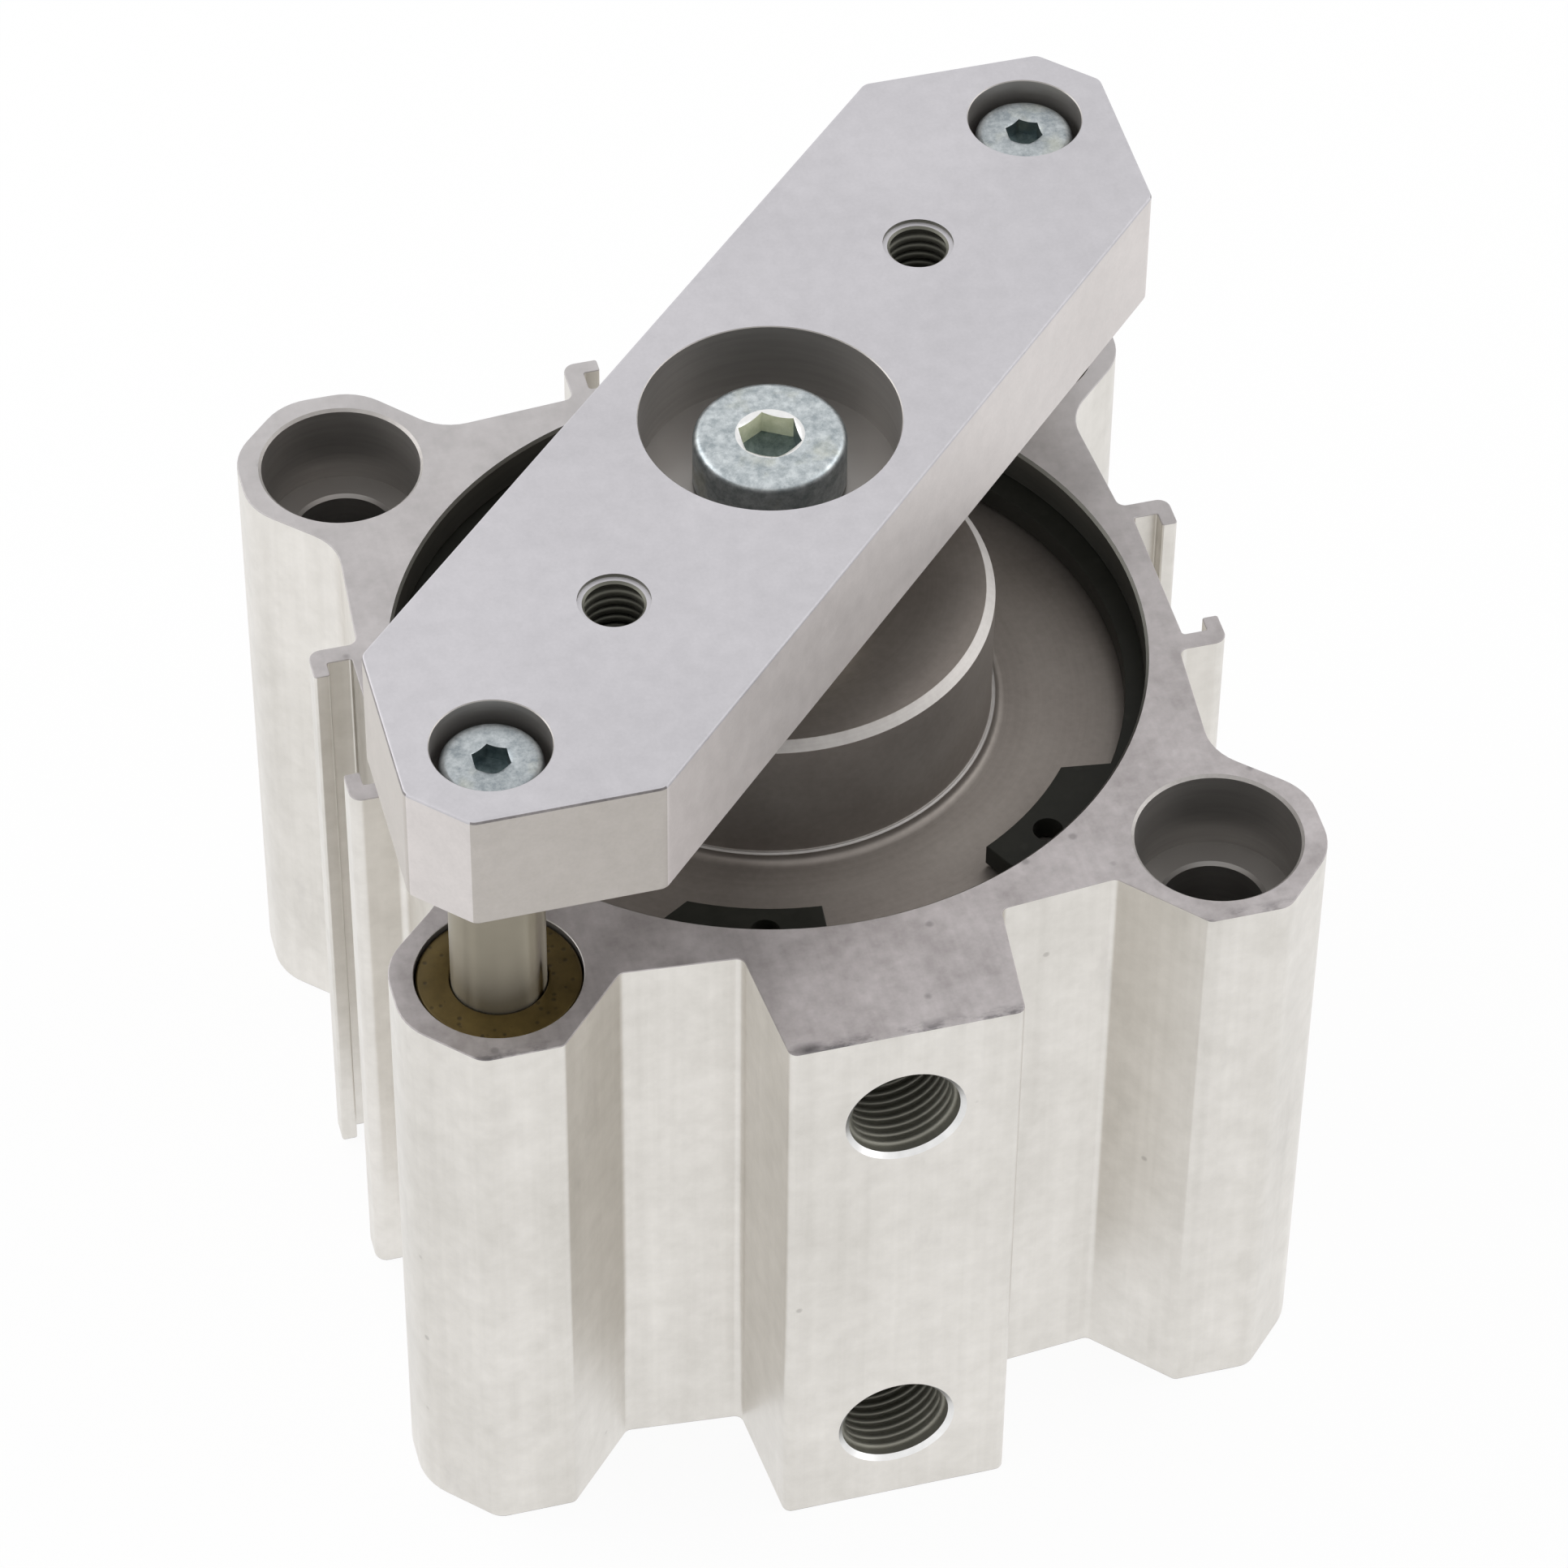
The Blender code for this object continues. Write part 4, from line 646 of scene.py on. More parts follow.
# %% The body's section
def side_middle(has_port_block):
    """The left half of one side's middle, as (along, out, radius) points."""
    if has_port_block:
        return [(-PORT_BLOCK_FOOT, WALL_AT_MIDDLE, EDGE_RADIUS), (-PORT_BLOCK_HALF, PORT_FACE, EDGE_RADIUS)]
    return [
        (-SLOT_LIP, WALL_AT_MIDDLE, EDGE_RADIUS),
        (-SLOT_LIP, SLOT_OUTER, SLOT_LIP_RADIUS),
        (-SLOT_MOUTH_HALF, SLOT_OUTER, 0.25 * MM),
        (-SLOT_MOUTH_HALF, SLOT_OUTER - SLOT_HOOK, 0.2 * MM),
        (-SLOT_HALF_WIDTH, SLOT_OUTER - SLOT_HOOK, 0.2 * MM),
        (-SLOT_HALF_WIDTH, SLOT_FLOOR, 0.3 * MM),
    ]


def body_section():
    section = []
    for quarter in range(4):
        has_port_block = quarter == 0
        chamfer_edge, flat_edge, foot = (BOSS_EDGE_RADIUS, BOSS_EDGE_RADIUS, BOSS_FOOT_RADIUS)
        if has_port_block:
            chamfer_edge, flat_edge, foot = (CHAMFER_EDGE_RADIUS, EDGE_RADIUS, EDGE_RADIUS)
        left = [
            (-(BODY_HALF - CORNER_CHAMFER), BODY_HALF, chamfer_edge),
            (-BOSS_FLAT_START, BODY_HALF, flat_edge),
            (-(BOSS_FLAT_START - BOSS_FLANK_RUN), WALL_AT_BOSS, foot),
        ]
        left += side_middle(has_port_block)
        right = [(-along, out, radius) for along, out, radius in reversed(left)]
        angle = quarter * math.pi / 2
        for along, out, radius in left + right:
            x = along * math.cos(angle) + out * math.sin(angle)
            y = along * math.sin(angle) - out * math.cos(angle)
            section.append((x, y, radius))
    return rounded(section, steps=6)


# %% Cutters for the bore and the corner holes
def mouth(radius, face, up, chamfer=RIM):
    """The profile points of a hole's chamfered mouth, run on past the face."""
    return [(radius + chamfer + OVERRUN, face + up * OVERRUN), (radius, face - up * chamfer)]


def both_ends(half):
    """A profile and its mirror image about the body's middle."""
    return half + [(radius, BODY_HEIGHT - height) for radius, height in reversed(half)]


def bore_cutter():
    groove_low = BODY_HEIGHT - COVER_RECESS + 0.1 * MM
    groove_high = groove_low + 2.6 * MM
    shoulder = BODY_HEIGHT - COVER_RECESS - COVER_FLANGE
    half = mouth(COVER_SEAT_RADIUS, BODY_HEIGHT, 1) + [
        (COVER_SEAT_RADIUS, groove_high),
        (RING_GROOVE_RADIUS, groove_high),
        (RING_GROOVE_RADIUS, groove_low),
        (COVER_SEAT_RADIUS, groove_low),
        (COVER_SEAT_RADIUS, shoulder),
        (BORE_RADIUS, shoulder),
    ]
    profile = both_ends(half)
    ends = [(0.0, profile[0][1])], [(0.0, profile[-1][1])]
    return turned("bore", ends[0] + profile + ends[1], seat_shade_finish, steps=144)


def corner_cutter(name, at, has_bush):
    """A mounting hole, or a guide hole whose bush fills the counterbore."""
    depth = 22.7 * MM if has_bush else COUNTERBORE_DEPTH
    chamfer = 0.0 if has_bush else THROUGH_CHAMFER
    half = mouth(COUNTERBORE_RADIUS, BODY_HEIGHT, 1, 0.06 * MM if has_bush else RIM) + [
        (COUNTERBORE_RADIUS, BODY_HEIGHT - depth),
        (THROUGH_RADIUS + chamfer, BODY_HEIGHT - depth),
        (THROUGH_RADIUS, BODY_HEIGHT - depth - max(chamfer, RIM)),
    ]
    profile = both_ends(half)
    if has_bush:
        profile = profile[:5] + [(THROUGH_RADIUS, 18.7 * MM), (COUNTERBORE_RADIUS, 18.7 * MM)] + profile[-2:]
    ends = [(0.0, profile[0][1])], [(0.0, profile[-1][1])]
    hole = turned(name, ends[0] + profile + ends[1], bored_shade_finish, bright_finish,
                  steps=72, at=(at[0], at[1] + AXIS_Y))
    # A bush hole's rim gets the bored wall's painted shade as well.
    paint(hole, lambda centre, normal: 0 if has_bush or 0.0 < centre.z < BODY_HEIGHT else 1)
    return hole


# %% [markdown]
# The ports are tapped, so their walls are cut at the thread's outer size here, and a helical
# ridge fills them in a later step. They point at the front, so their profile is spun upright
# first and then laid down.

# %% Cutters for the ports
PORT_MAJOR = 4.8 * MM
PORT_MINOR = 4.52 * MM
PORT_PITCH = 0.907 * MM
PORT_COUNTERSINK = 0.42 * MM


def lay_forward(mesh, height):
    """Turns a mesh that stands on the axis so that its top points to the front."""
    mesh.transform(Matrix.Translation((0.0, AXIS_Y, height)) @ Matrix.Rotation(math.pi / 2, 4, "X"))


def port_cutter(name, height, towards_chamber):
    profile = [(0.0, PORT_FACE + OVERRUN)] + mouth(PORT_MAJOR, PORT_FACE, 1, PORT_COUNTERSINK)
    profile += [(PORT_MAJOR, PORT_FLOOR + 1.2 * MM), (PORT_MINOR, PORT_FLOOR + 0.6 * MM)]
    profile += [(PORT_MINOR, PORT_FLOOR), (0.0, PORT_FLOOR - 1.1 * MM)]
    port = turned(name, profile, port_shade_finish, machined_finish, steps=72, at=(0.0, 0.0))
    paint(port, lambda centre, normal: 1 if centre.z > PORT_FACE else 0)
    lay_forward(port.data, height)
    far = PORT_FLOOR + OVERRUN
    near = BORE_RADIUS - OVERRUN
    drilling = [(0.0, far), (1.5 * MM, far), (1.5 * MM, near), (0.0, near)]
    passage = turned(name + "_passage", drilling, tapped_shade_finish, steps=32, at=(0.0, 0.0))
    lay_forward(passage.data, height + towards_chamber * 2.9 * MM)
    return [port, passage]


# %% Make the body
body = extruded("body_extrusion", body_section(), 0.0, BODY_HEIGHT,
                extruded_finish, milled_finish, edge=0.12 * MM)
paint(body, lambda centre, normal: 1 if abs(normal.z) > 0.3 else 0)
body_cutters = [bore_cutter()]
for corner, side in (("back_left", -1), ("front_right", 1)):
    body_cutters.append(corner_cutter("hole_" + corner, (side * CORNER, -side * CORNER), False))
for corner, place in PAIR.items():
    body_cutters.append(corner_cutter("hole_" + corner, place, True))
body_cutters += port_cutter("front_port", FRONT_PORT_HEIGHT, -1)
body_cutters += port_cutter("rear_port", REAR_PORT_HEIGHT, 1)
drilled(body, *body_cutters)
settle(body, "barrel", "anodised_body", "cylinder_body")

# %% [markdown]
# ## Threads from Geometry Nodes
# A tapped hole is a helix that repeats one small tooth, so a node tree makes it: a spiral curve
# carries a four-cornered profile, half of it buried in the wall. The same tree serves the two
# ports and the two holes in the plate, with its radius, pitch and number of turns as inputs.

# %% The thread's node tree
def new_tree(name, inputs):
    tree = bpy.data.node_groups.new(name, "GeometryNodeTree")
    for label, kind in inputs:
        tree.interface.new_socket(name=label, in_out="INPUT", socket_type="NodeSocket" + kind)
    tree.interface.new_socket(name="Geometry", in_out="OUTPUT", socket_type="NodeSocketGeometry")
    return tree


def tree_node(tree, kind, settings=None, links=None):
    """Adds a geometry node, with its settings and with values or sockets for its inputs."""
    node = tree.nodes.new(kind)
    for key, value in (settings or {}).items():
        setattr(node, key, value)
    for key, value in (links or {}).items():
        socket = find_socket(node.inputs, key)
        if isinstance(value, bpy.types.NodeSocket):
            tree.links.new(value, socket)
        else:
            socket.default_value = value
    return node


def end_tree(tree, geometry, finish, repaint=True):
    """Every tree ends in real geometry with a material, which is what an export can keep."""
    real = tree_node(tree, "GeometryNodeRealizeInstances", None, {0: geometry})
    coloured = tree_node(tree, "GeometryNodeSetMaterial", None, {
        "Geometry": real.outputs[0], "Selection": repaint, "Material": finish})
    tree_node(tree, "NodeGroupOutput", None, {0: coloured.outputs[0]})


def make_thread_tree():
    tree = new_tree("thread_ridge", [("Radius", "Float"), ("Depth", "Float"), ("Pitch", "Float"),
                                     ("Turns", "Float"), ("Steps", "Int"), ("Finish", "Material")])
    given = tree.nodes.new("NodeGroupInput").outputs
    height = tree_node(tree, "ShaderNodeMath", {"operation": "MULTIPLY"}, {0: given["Pitch"], 1: given["Turns"]})
    helix = tree_node(tree, "GeometryNodeCurveSpiral", None, {
        "Resolution": given["Steps"], "Rotations": given["Turns"], "Start Radius": given["Radius"],
        "End Radius": given["Radius"], "Height": height.outputs[0]})
    upright = tree_node(tree, "GeometryNodeSetCurveNormal", {"mode": "Z_UP"}, {"Curve": helix.outputs[0]})
    tooth = tree_node(tree, "GeometryNodeCurvePrimitiveCircle", None, {"Resolution": 4, "Radius": 1.0})
    half_pitch = tree_node(tree, "ShaderNodeMath", {"operation": "MULTIPLY"}, {0: given["Pitch"], 1: 0.49})
    scale = tree_node(tree, "ShaderNodeCombineXYZ", None, {"X": half_pitch.outputs[0], "Y": given["Depth"], "Z": 1.0})
    profile = tree_node(tree, "GeometryNodeTransform", None, {"Geometry": tooth.outputs[0], "Scale": scale.outputs[0]})
    ridge = tree_node(tree, "GeometryNodeCurveToMesh", None, {
        "Curve": upright.outputs[0], "Profile Curve": profile.outputs[0], "Fill Caps": True})
    end_tree(tree, ridge.outputs[0], given["Finish"])
    return tree


def grown(name, tree, values, start_mesh=None):
    """Runs a node tree on a new object and keeps the result as a plain mesh."""
    piece = bpy.data.objects.new(name, start_mesh or bpy.data.meshes.new(name))
    bpy.context.scene.collection.objects.link(piece)
    nodes = piece.modifiers.new(tree.name, "NODES")
    nodes.node_group = tree
    for item in tree.interface.items_tree:
        if item.in_out == "INPUT" and item.name in values:
            nodes[item.identifier] = values[item.name]
    baked(piece)
    return piece


thread_tree = make_thread_tree()
print("thread tree has", len(thread_tree.nodes), "nodes")


# %% Thread the ports
def make_thread(name, radius, minor, pitch, length, finish):
    """A ridge of a given length that starts at height 0 on its own axis."""
    values = {"Radius": radius, "Depth": radius - minor, "Pitch": pitch, "Turns": length / pitch,
              "Steps": 64, "Finish": finish}
    return grown(name, thread_tree, values)


for name, height in (("front", FRONT_PORT_HEIGHT), ("rear", REAR_PORT_HEIGHT)):
    thread = make_thread(name + "_port_thread", PORT_MAJOR, PORT_MINOR, PORT_PITCH, 7.9 * MM, port_shade_finish)
    thread.data.transform(Matrix.Translation((0.0, 0.0, PORT_FLOOR + 1.7 * MM)))
    lay_forward(thread.data, height)
    settle(thread, "barrel", "anodised_body")

# %% [markdown]
# ## The covers and their retaining rings
# The front cover is one turned piece with a hub. Two thin rings of bare metal show on it: the
# wide chamfer round the hub's top and the broken edge of the step at its foot. A rule on height
# and radius paints them.

# %% The front cover
ROD_RADIUS = 8.0 * MM
HUB_RADIUS = 19.4 * MM
HUB_TOP = 69.2 * MM
HUB_CHAMFER = 0.8 * MM
HUB_FOOT_RADIUS = 19.75 * MM
HUB_FOOT_HEIGHT = 1.0 * MM
HUB_FOOT_CHAMFER = 0.15 * MM
SEAL_SEAT_RADIUS = 10.4 * MM
COVER_FACE = BODY_HEIGHT - COVER_RECESS
SHOULDER = COVER_FACE - COVER_FLANGE
CHAMBER_HIGH = SHOULDER - 4.0 * MM
COVER_RADIUS = COVER_SEAT_RADIUS - 0.15 * MM


def cover_rule(centre, normal):
    """0 for the anodised surface, 1 for the bright broken edges."""
    radius = math.hypot(centre.x, centre.y - AXIS_Y)
    near_top = centre.z > HUB_TOP - HUB_CHAMFER and radius > HUB_RADIUS - HUB_CHAMFER
    foot_top = COVER_FACE + HUB_FOOT_HEIGHT
    on_foot = HUB_RADIUS + 0.05 * MM < radius < HUB_FOOT_RADIUS and foot_top - HUB_FOOT_CHAMFER < centre.z
    return 1 if (near_top or on_foot) and centre.z < HUB_TOP - WELD else 0


def make_front_cover():
    foot_top = COVER_FACE + HUB_FOOT_HEIGHT
    corners = [
        (SEAL_SEAT_RADIUS, HUB_TOP, 0.2 * MM),
        (HUB_RADIUS - HUB_CHAMFER, HUB_TOP, 0.1 * MM),
        (HUB_RADIUS, HUB_TOP - HUB_CHAMFER, 0.1 * MM),
        (HUB_RADIUS, foot_top, 0.08 * MM),
        (HUB_FOOT_RADIUS - HUB_FOOT_CHAMFER, foot_top, 0.05 * MM),
        (HUB_FOOT_RADIUS, foot_top - HUB_FOOT_CHAMFER, 0.05 * MM),
        (HUB_FOOT_RADIUS, COVER_FACE, 0.8 * MM),
        (COVER_RADIUS, COVER_FACE, 0.2 * MM),
        (COVER_RADIUS, SHOULDER + 0.3 * MM, 0.2 * MM),
        (30.0 * MM, SHOULDER + 0.3 * MM, 0.2 * MM),
        (30.0 * MM, CHAMBER_HIGH, 0.2 * MM),
        (9.75 * MM, CHAMBER_HIGH, 0.2 * MM),
        (9.75 * MM, HUB_TOP - 8.2 * MM, 0.1 * MM),
        (8.5 * MM, HUB_TOP - 8.2 * MM, 0.1 * MM),
        (8.5 * MM, HUB_TOP - 6.7 * MM, 0.1 * MM),
        (SEAL_SEAT_RADIUS, HUB_TOP - 6.7 * MM, 0.1 * MM),
    ]
    return turned("front_cover_surface", rounded(corners), cover_finish, bright_finish, steps=144)


front_cover = make_front_cover()
paint(front_cover, cover_rule)
settle(front_cover, "barrel", "cover_aluminium", "front_cover")


# %% The rear cover, seal and retaining rings
def make_rear_cover():
    corners = [
        (0.0, 15.0 * MM, 0.0),
        (30.0 * MM, 15.0 * MM, 0.3 * MM),
        (30.0 * MM, 10.7 * MM, 0.2 * MM),
        (COVER_RADIUS, 10.7 * MM, 0.2 * MM),
        (COVER_RADIUS, COVER_RECESS, 0.3 * MM),
        (22.0 * MM, COVER_RECESS, 0.2 * MM),
        (22.0 * MM, COVER_RECESS + 1.5 * MM, 0.3 * MM),
        (0.0, COVER_RECESS + 1.5 * MM, 0.0),
    ]
    return turned("rear_cover_surface", rounded(corners, closed=False), turned_finish, steps=144)


settle(make_rear_cover(), "barrel", "turned_aluminium", "rear_cover")
RING_OUTER = 33.45 * MM
RING_INNER = 30.6 * MM
RING_OFFSET = 0.7 * MM
RING_THICKNESS = 2.2 * MM
RING_GAP_HALF = math.radians(16.5)
RING_GAP_AT = math.radians(-78.5)
LUG_RADIUS = 27.3 * MM
LUG_SPAN = math.radians(24.0)
LUG_SHOULDER = math.radians(4.0)
LUG_HOLE_AT = 29.9 * MM
LUG_HOLE_RADIUS = 1.3 * MM


def ring_point(angle, radius):
    turned_by = RING_GAP_AT + angle
    return (radius * math.cos(turned_by), radius * math.sin(turned_by))


def arc(start, end, radius_at, steps):
    """Points along an arc, with a radius that may change with the angle."""
    angles = [start + (end - start) * step / steps for step in range(steps + 1)]
    return [ring_point(angle, radius_at(angle)) for angle in angles]


def ring_outline():
    far = math.tau - RING_GAP_HALF
    lug_end = RING_GAP_HALF + LUG_SPAN
    bow_start = lug_end + LUG_SHOULDER
    outline = arc(RING_GAP_HALF, far, lambda angle: RING_OUTER, 120)
    outline += arc(far, far - LUG_SPAN, lambda angle: LUG_RADIUS, 10)
    outline += arc(math.tau - bow_start, bow_start, lambda angle: RING_INNER + RING_OFFSET * math.cos(angle), 100)
    return outline + arc(lug_end, RING_GAP_HALF, lambda angle: LUG_RADIUS, 10)


def make_retaining_ring(name, low):
    ring = extruded(name, ring_outline(), low, low + RING_THICKNESS, spring_finish, edge=0.12 * MM)
    holes = []
    for number, angle in enumerate((RING_GAP_HALF, math.tau - RING_GAP_HALF)):
        inwards = math.radians(10.0) * (1 if number == 0 else -1)
        x, y = ring_point(angle + inwards, LUG_HOLE_AT)
        profile = [(0.0, low + 2 * RING_THICKNESS), (LUG_HOLE_RADIUS, low + 2 * RING_THICKNESS),
                   (LUG_HOLE_RADIUS, low - RING_THICKNESS), (0.0, low - RING_THICKNESS)]
        holes.append(turned("lug_hole_%d" % number, profile, steps=32, at=(x, y + AXIS_Y)))
    return drilled(ring, *holes)


front_ring = make_retaining_ring("front_ring_surface", COVER_FACE + 0.3 * MM)
settle(front_ring, "barrel", "spring_steel", "front_retaining_ring")
rear_ring = make_retaining_ring("rear_ring_surface", COVER_RECESS - 0.3 * MM - RING_THICKNESS)
settle(rear_ring, "barrel", "spring_steel", "rear_retaining_ring")

# %% [markdown]
# ## The guide plate
# A diagonal band cut from a square: it reaches the two corners that hold the guide rods and
# leaves the mounting holes free. Its edges are broken by 0.3 mm, which draws the thin bright line
# round its top in the photograph.

# %% The plate
PLATE_LOW = 76.7 * MM
PLATE_HIGH = 88.7 * MM
PLATE_HALF = 38.9 * MM
PLATE_BAND_HALF = 14.35 * MM
PLATE_CHAMFER = 4.5 * MM
PLATE_CORNER_RADIUS = 1.2 * MM
PLATE_EDGE = 0.3 * MM
CENTRE_SEAT = PLATE_LOW + 4.8 * MM
GUIDE_SEAT = PLATE_LOW + 6.7 * MM
PLATE_COUNTERBORE_RADIUS = 11.04 * MM
SCREW_COUNTERBORE_RADIUS = 4.96 * MM
TOOL_MAJOR = 2.95 * MM
TOOL_MINOR = 2.4 * MM
TOOL_STEP_RADIUS = 3.05 * MM
TOOL_STEP_DEPTH = 0.35 * MM
TOOL_AT = 25.0 * MM / math.sqrt(2.0)


def plate_outline():
    short = PLATE_HALF - PLATE_BAND_HALF * math.sqrt(2.0)
    chamfer = PLATE_HALF - PLATE_CHAMFER
    end = [(short, PLATE_HALF), (-PLATE_HALF, -short), (-PLATE_HALF, -chamfer), (-chamfer, -PLATE_HALF)]
    points = end + [(-x, -y) for x, y in end]
    return rounded([(x, y, PLATE_CORNER_RADIUS) for x, y in points], steps=6)


def plate_cutter(name, radius, floor, through, socket_radius, socket_depth, at):
    roof = PLATE_LOW + socket_depth
    profile = [(0.0, PLATE_HIGH + OVERRUN)] + mouth(radius, PLATE_HIGH, 1, 0.08 * MM)
    profile += [(radius, floor), (through, floor), (through, roof), (socket_radius, roof)]
    profile += [(socket_radius, PLATE_LOW - OVERRUN), (0.0, PLATE_LOW - OVERRUN)]
    return turned(name, profile, bored_shade_finish, steps=96, at=(at[0], at[1] + AXIS_Y))


def tool_mouth(face, up):
    """A shallow spot-faced step, and a small bevel down to the thread's crests."""
    floor = face - up * TOOL_STEP_DEPTH
    crest = TOOL_MINOR + 0.05 * MM
    return [(TOOL_STEP_RADIUS, face + up * OVERRUN), (TOOL_STEP_RADIUS, floor),
            (crest + 0.2 * MM, floor - up * 0.05 * MM), (crest, floor - up * 0.25 * MM)]


def tool_cutter(name, at):
    """A tapped hole with a stepped mouth at both ends, and room for the thread between them."""
    top, bottom = tool_mouth(PLATE_HIGH, 1), tool_mouth(PLATE_LOW, -1)
    grooves = [(TOOL_MAJOR, top[-1][1] - 0.2 * MM), (TOOL_MAJOR, bottom[-1][1] + 0.2 * MM)]
    profile = [(0.0, top[0][1])] + top + grooves + bottom[::-1] + [(0.0, bottom[0][1])]
    hole = turned(name, profile, tapped_shade_finish, plate_top_finish, steps=64, at=(at, at + AXIS_Y))
    # The bevel into the thread gets the tapped wall's painted shade.
    paint(hole, lambda centre, normal: 1 if abs(normal.z) > 0.9 else 0)
    return hole


def plate_rule(centre, normal):
    """0 for the top, 1 for long sides and chamfers, 2 for the square ends' painted shade, 3 for the painted shadow
    line on their upper bevel.
    """
    if normal.z > 0.9:
        return 0
    faces_square = max(abs(normal.x), abs(normal.y)) > 0.6 * math.sqrt(2.0) * normal.xy.length
    if normal.z > 0.2:
        return 3 if faces_square else 0
    return 2 if faces_square else 1


plate = extruded("plate_surface", plate_outline(), PLATE_LOW, PLATE_HIGH,
                 plate_top_finish, plate_side_finish, plate_end_shade_finish, plate_edge_shadow_finish, edge=PLATE_EDGE)
paint(plate, plate_rule)
plate_cutters = [plate_cutter("centre_hole", PLATE_COUNTERBORE_RADIUS, CENTRE_SEAT, 4.25 * MM,
                              ROD_RADIUS + 0.15 * MM, 1.0 * MM, (0.0, 0.0))]
for corner, place in PAIR.items():
    plate_cutters.append(plate_cutter("screw_hole_" + corner, SCREW_COUNTERBORE_RADIUS, GUIDE_SEAT,
                                      2.75 * MM, 4.15 * MM, 1.5 * MM, place))
for side in (-1, 1):
    plate_cutters.append(tool_cutter("tool_hole_%d" % side, side * TOOL_AT))
drilled(plate, *plate_cutters)
settle(plate, "moving_unit", "plate_aluminium", "guide_plate")

# %% Thread the tool holes
for name, side in (("front", -1), ("back", 1)):
    thread = make_thread(name + "_tool_thread", TOOL_MAJOR, TOOL_MINOR, 1.0 * MM, 9.4 * MM, tapped_shade_finish)
    thread.data.transform(Matrix.Translation((side * TOOL_AT, side * TOOL_AT + AXIS_Y, PLATE_LOW + 1.3 * MM)))
    settle(thread, "moving_unit", "plate_aluminium")

# %% [markdown]
# ## What comes in pairs
# Guide rods, bushes and small screws stand at two opposite corners. One copy is modelled on the
# axis, and a node tree sets it on both corners: a line of two points carries the instances, and
# Realize Instances makes them one mesh. The Repaint input says whether Set Material gives the
# copies one finish or leaves them the finishes that they have.

# %% The tree that sets a pair on the diagonal
def make_pair_tree():
    tree = new_tree("pair_on_diagonal", [("Geometry", "Geometry"), ("First", "Vector"), ("Second", "Vector"),
                                         ("Repaint", "Bool"), ("Finish", "Material")])
    given = tree.nodes.new("NodeGroupInput").outputs
    corners = tree_node(tree, "GeometryNodeMeshLine", {"mode": "END_POINTS"}, {
        "Count": 2, "Start Location": given["First"], "Offset": given["Second"]})
    copies = tree_node(tree, "GeometryNodeInstanceOnPoints", None, {
        "Points": corners.outputs[0], "Instance": given["Geometry"]})
    end_tree(tree, copies.outputs[0], given["Finish"], given["Repaint"])
    return tree


pair_tree = make_pair_tree()


def paired(single, finish, repaint=True):
    """Sets a piece on both guide corners, in one finish or in the finishes that it has."""
    spots = [Vector((x, y + AXIS_Y, 0.0)) for x, y in PAIR.values()]
    values = {"First": spots[0], "Second": spots[1], "Finish": finish, "Repaint": repaint}
    piece = grown(single.name + "s", pair_tree, values, single.data)
    bpy.data.objects.remove(single, do_unlink=True)
    return piece


# %% Guide rods and bushes
GUIDE_RADIUS = 4.0 * MM


def make_guide_rod():
    corners = [(0.0, PLATE_LOW + 1.2 * MM, 0.0), (GUIDE_RADIUS, PLATE_LOW + 1.2 * MM, 0.3 * MM),
               (GUIDE_RADIUS, 1.0 * MM, 0.6 * MM), (0.0, 1.0 * MM, 0.0)]
    return turned("guide_rod", rounded(corners, closed=False), steps=96, at=(0.0, 0.0))


def make_bush(name, low, high, mouth_at_top):
    outer = COUNTERBORE_RADIUS - 0.15 * MM
    inner = GUIDE_RADIUS + 0.1 * MM
    corners = [(inner, high, 0.2 * MM if mouth_at_top else 0.1 * MM), (outer, high, 0.25 * MM),
               (outer, low, 0.25 * MM), (inner, low, 0.1 * MM if mouth_at_top else 0.2 * MM)]
    return turned(name, rounded(corners), steps=96, at=(0.0, 0.0))


corner_names = list(PAIR)
rods = paired(make_guide_rod(), guide_reflection_finish)
settle(rods, "moving_unit", "rod_steel", *["guide_rod_" + corner for corner in corner_names])
upper = paired(make_bush("upper_bush", BODY_HEIGHT - 22.4 * MM, BODY_HEIGHT - 0.4 * MM, True), bronze_finish)
settle(upper, "barrel", "sintered_bronze", *["upper_guide_bush_" + corner for corner in corner_names])
lower = paired(make_bush("lower_bush", 0.4 * MM, 18.4 * MM, False), bronze_finish)
settle(lower, "barrel", "sintered_bronze", *["lower_guide_bush_" + corner for corner in corner_names])

# %% [markdown]
# ## Low head screws
# Three socket screws hold the plate. The low head is a flat disc with a softly rounded rim. A
# hexagon prism cuts the socket, and a shallow cone opens its mouth. The socket keeps the
# finish of its cutters: a bright mouth, painted light on the walls at the back, which face the
# front, and painted shade on the other walls and the floor. The guide screws get painted shade
# on all their socket walls.

# %% Make a screw
def hexagon_cutter(width, low, high, at, wall):
    """A hexagon prism, with a flat to the front."""
    shape = bmesh.new()
    radius = width / math.sqrt(3.0)
    made = bmesh.ops.create_cone(shape, cap_ends=True, segments=6, radius1=radius, radius2=radius, depth=high - low)
    bmesh.ops.translate(shape, verts=made["verts"], vec=(at[0], at[1], (low + high) / 2))
    hexagon = add_piece("socket", mesh_from(shape, "socket"), wall, socket_shade_finish)
    # Painted light on the back walls, which face the front, and painted shade on the rest.
    paint(hexagon, lambda centre, normal: 0 if normal.y > 0.4 else 1)
    return hexagon


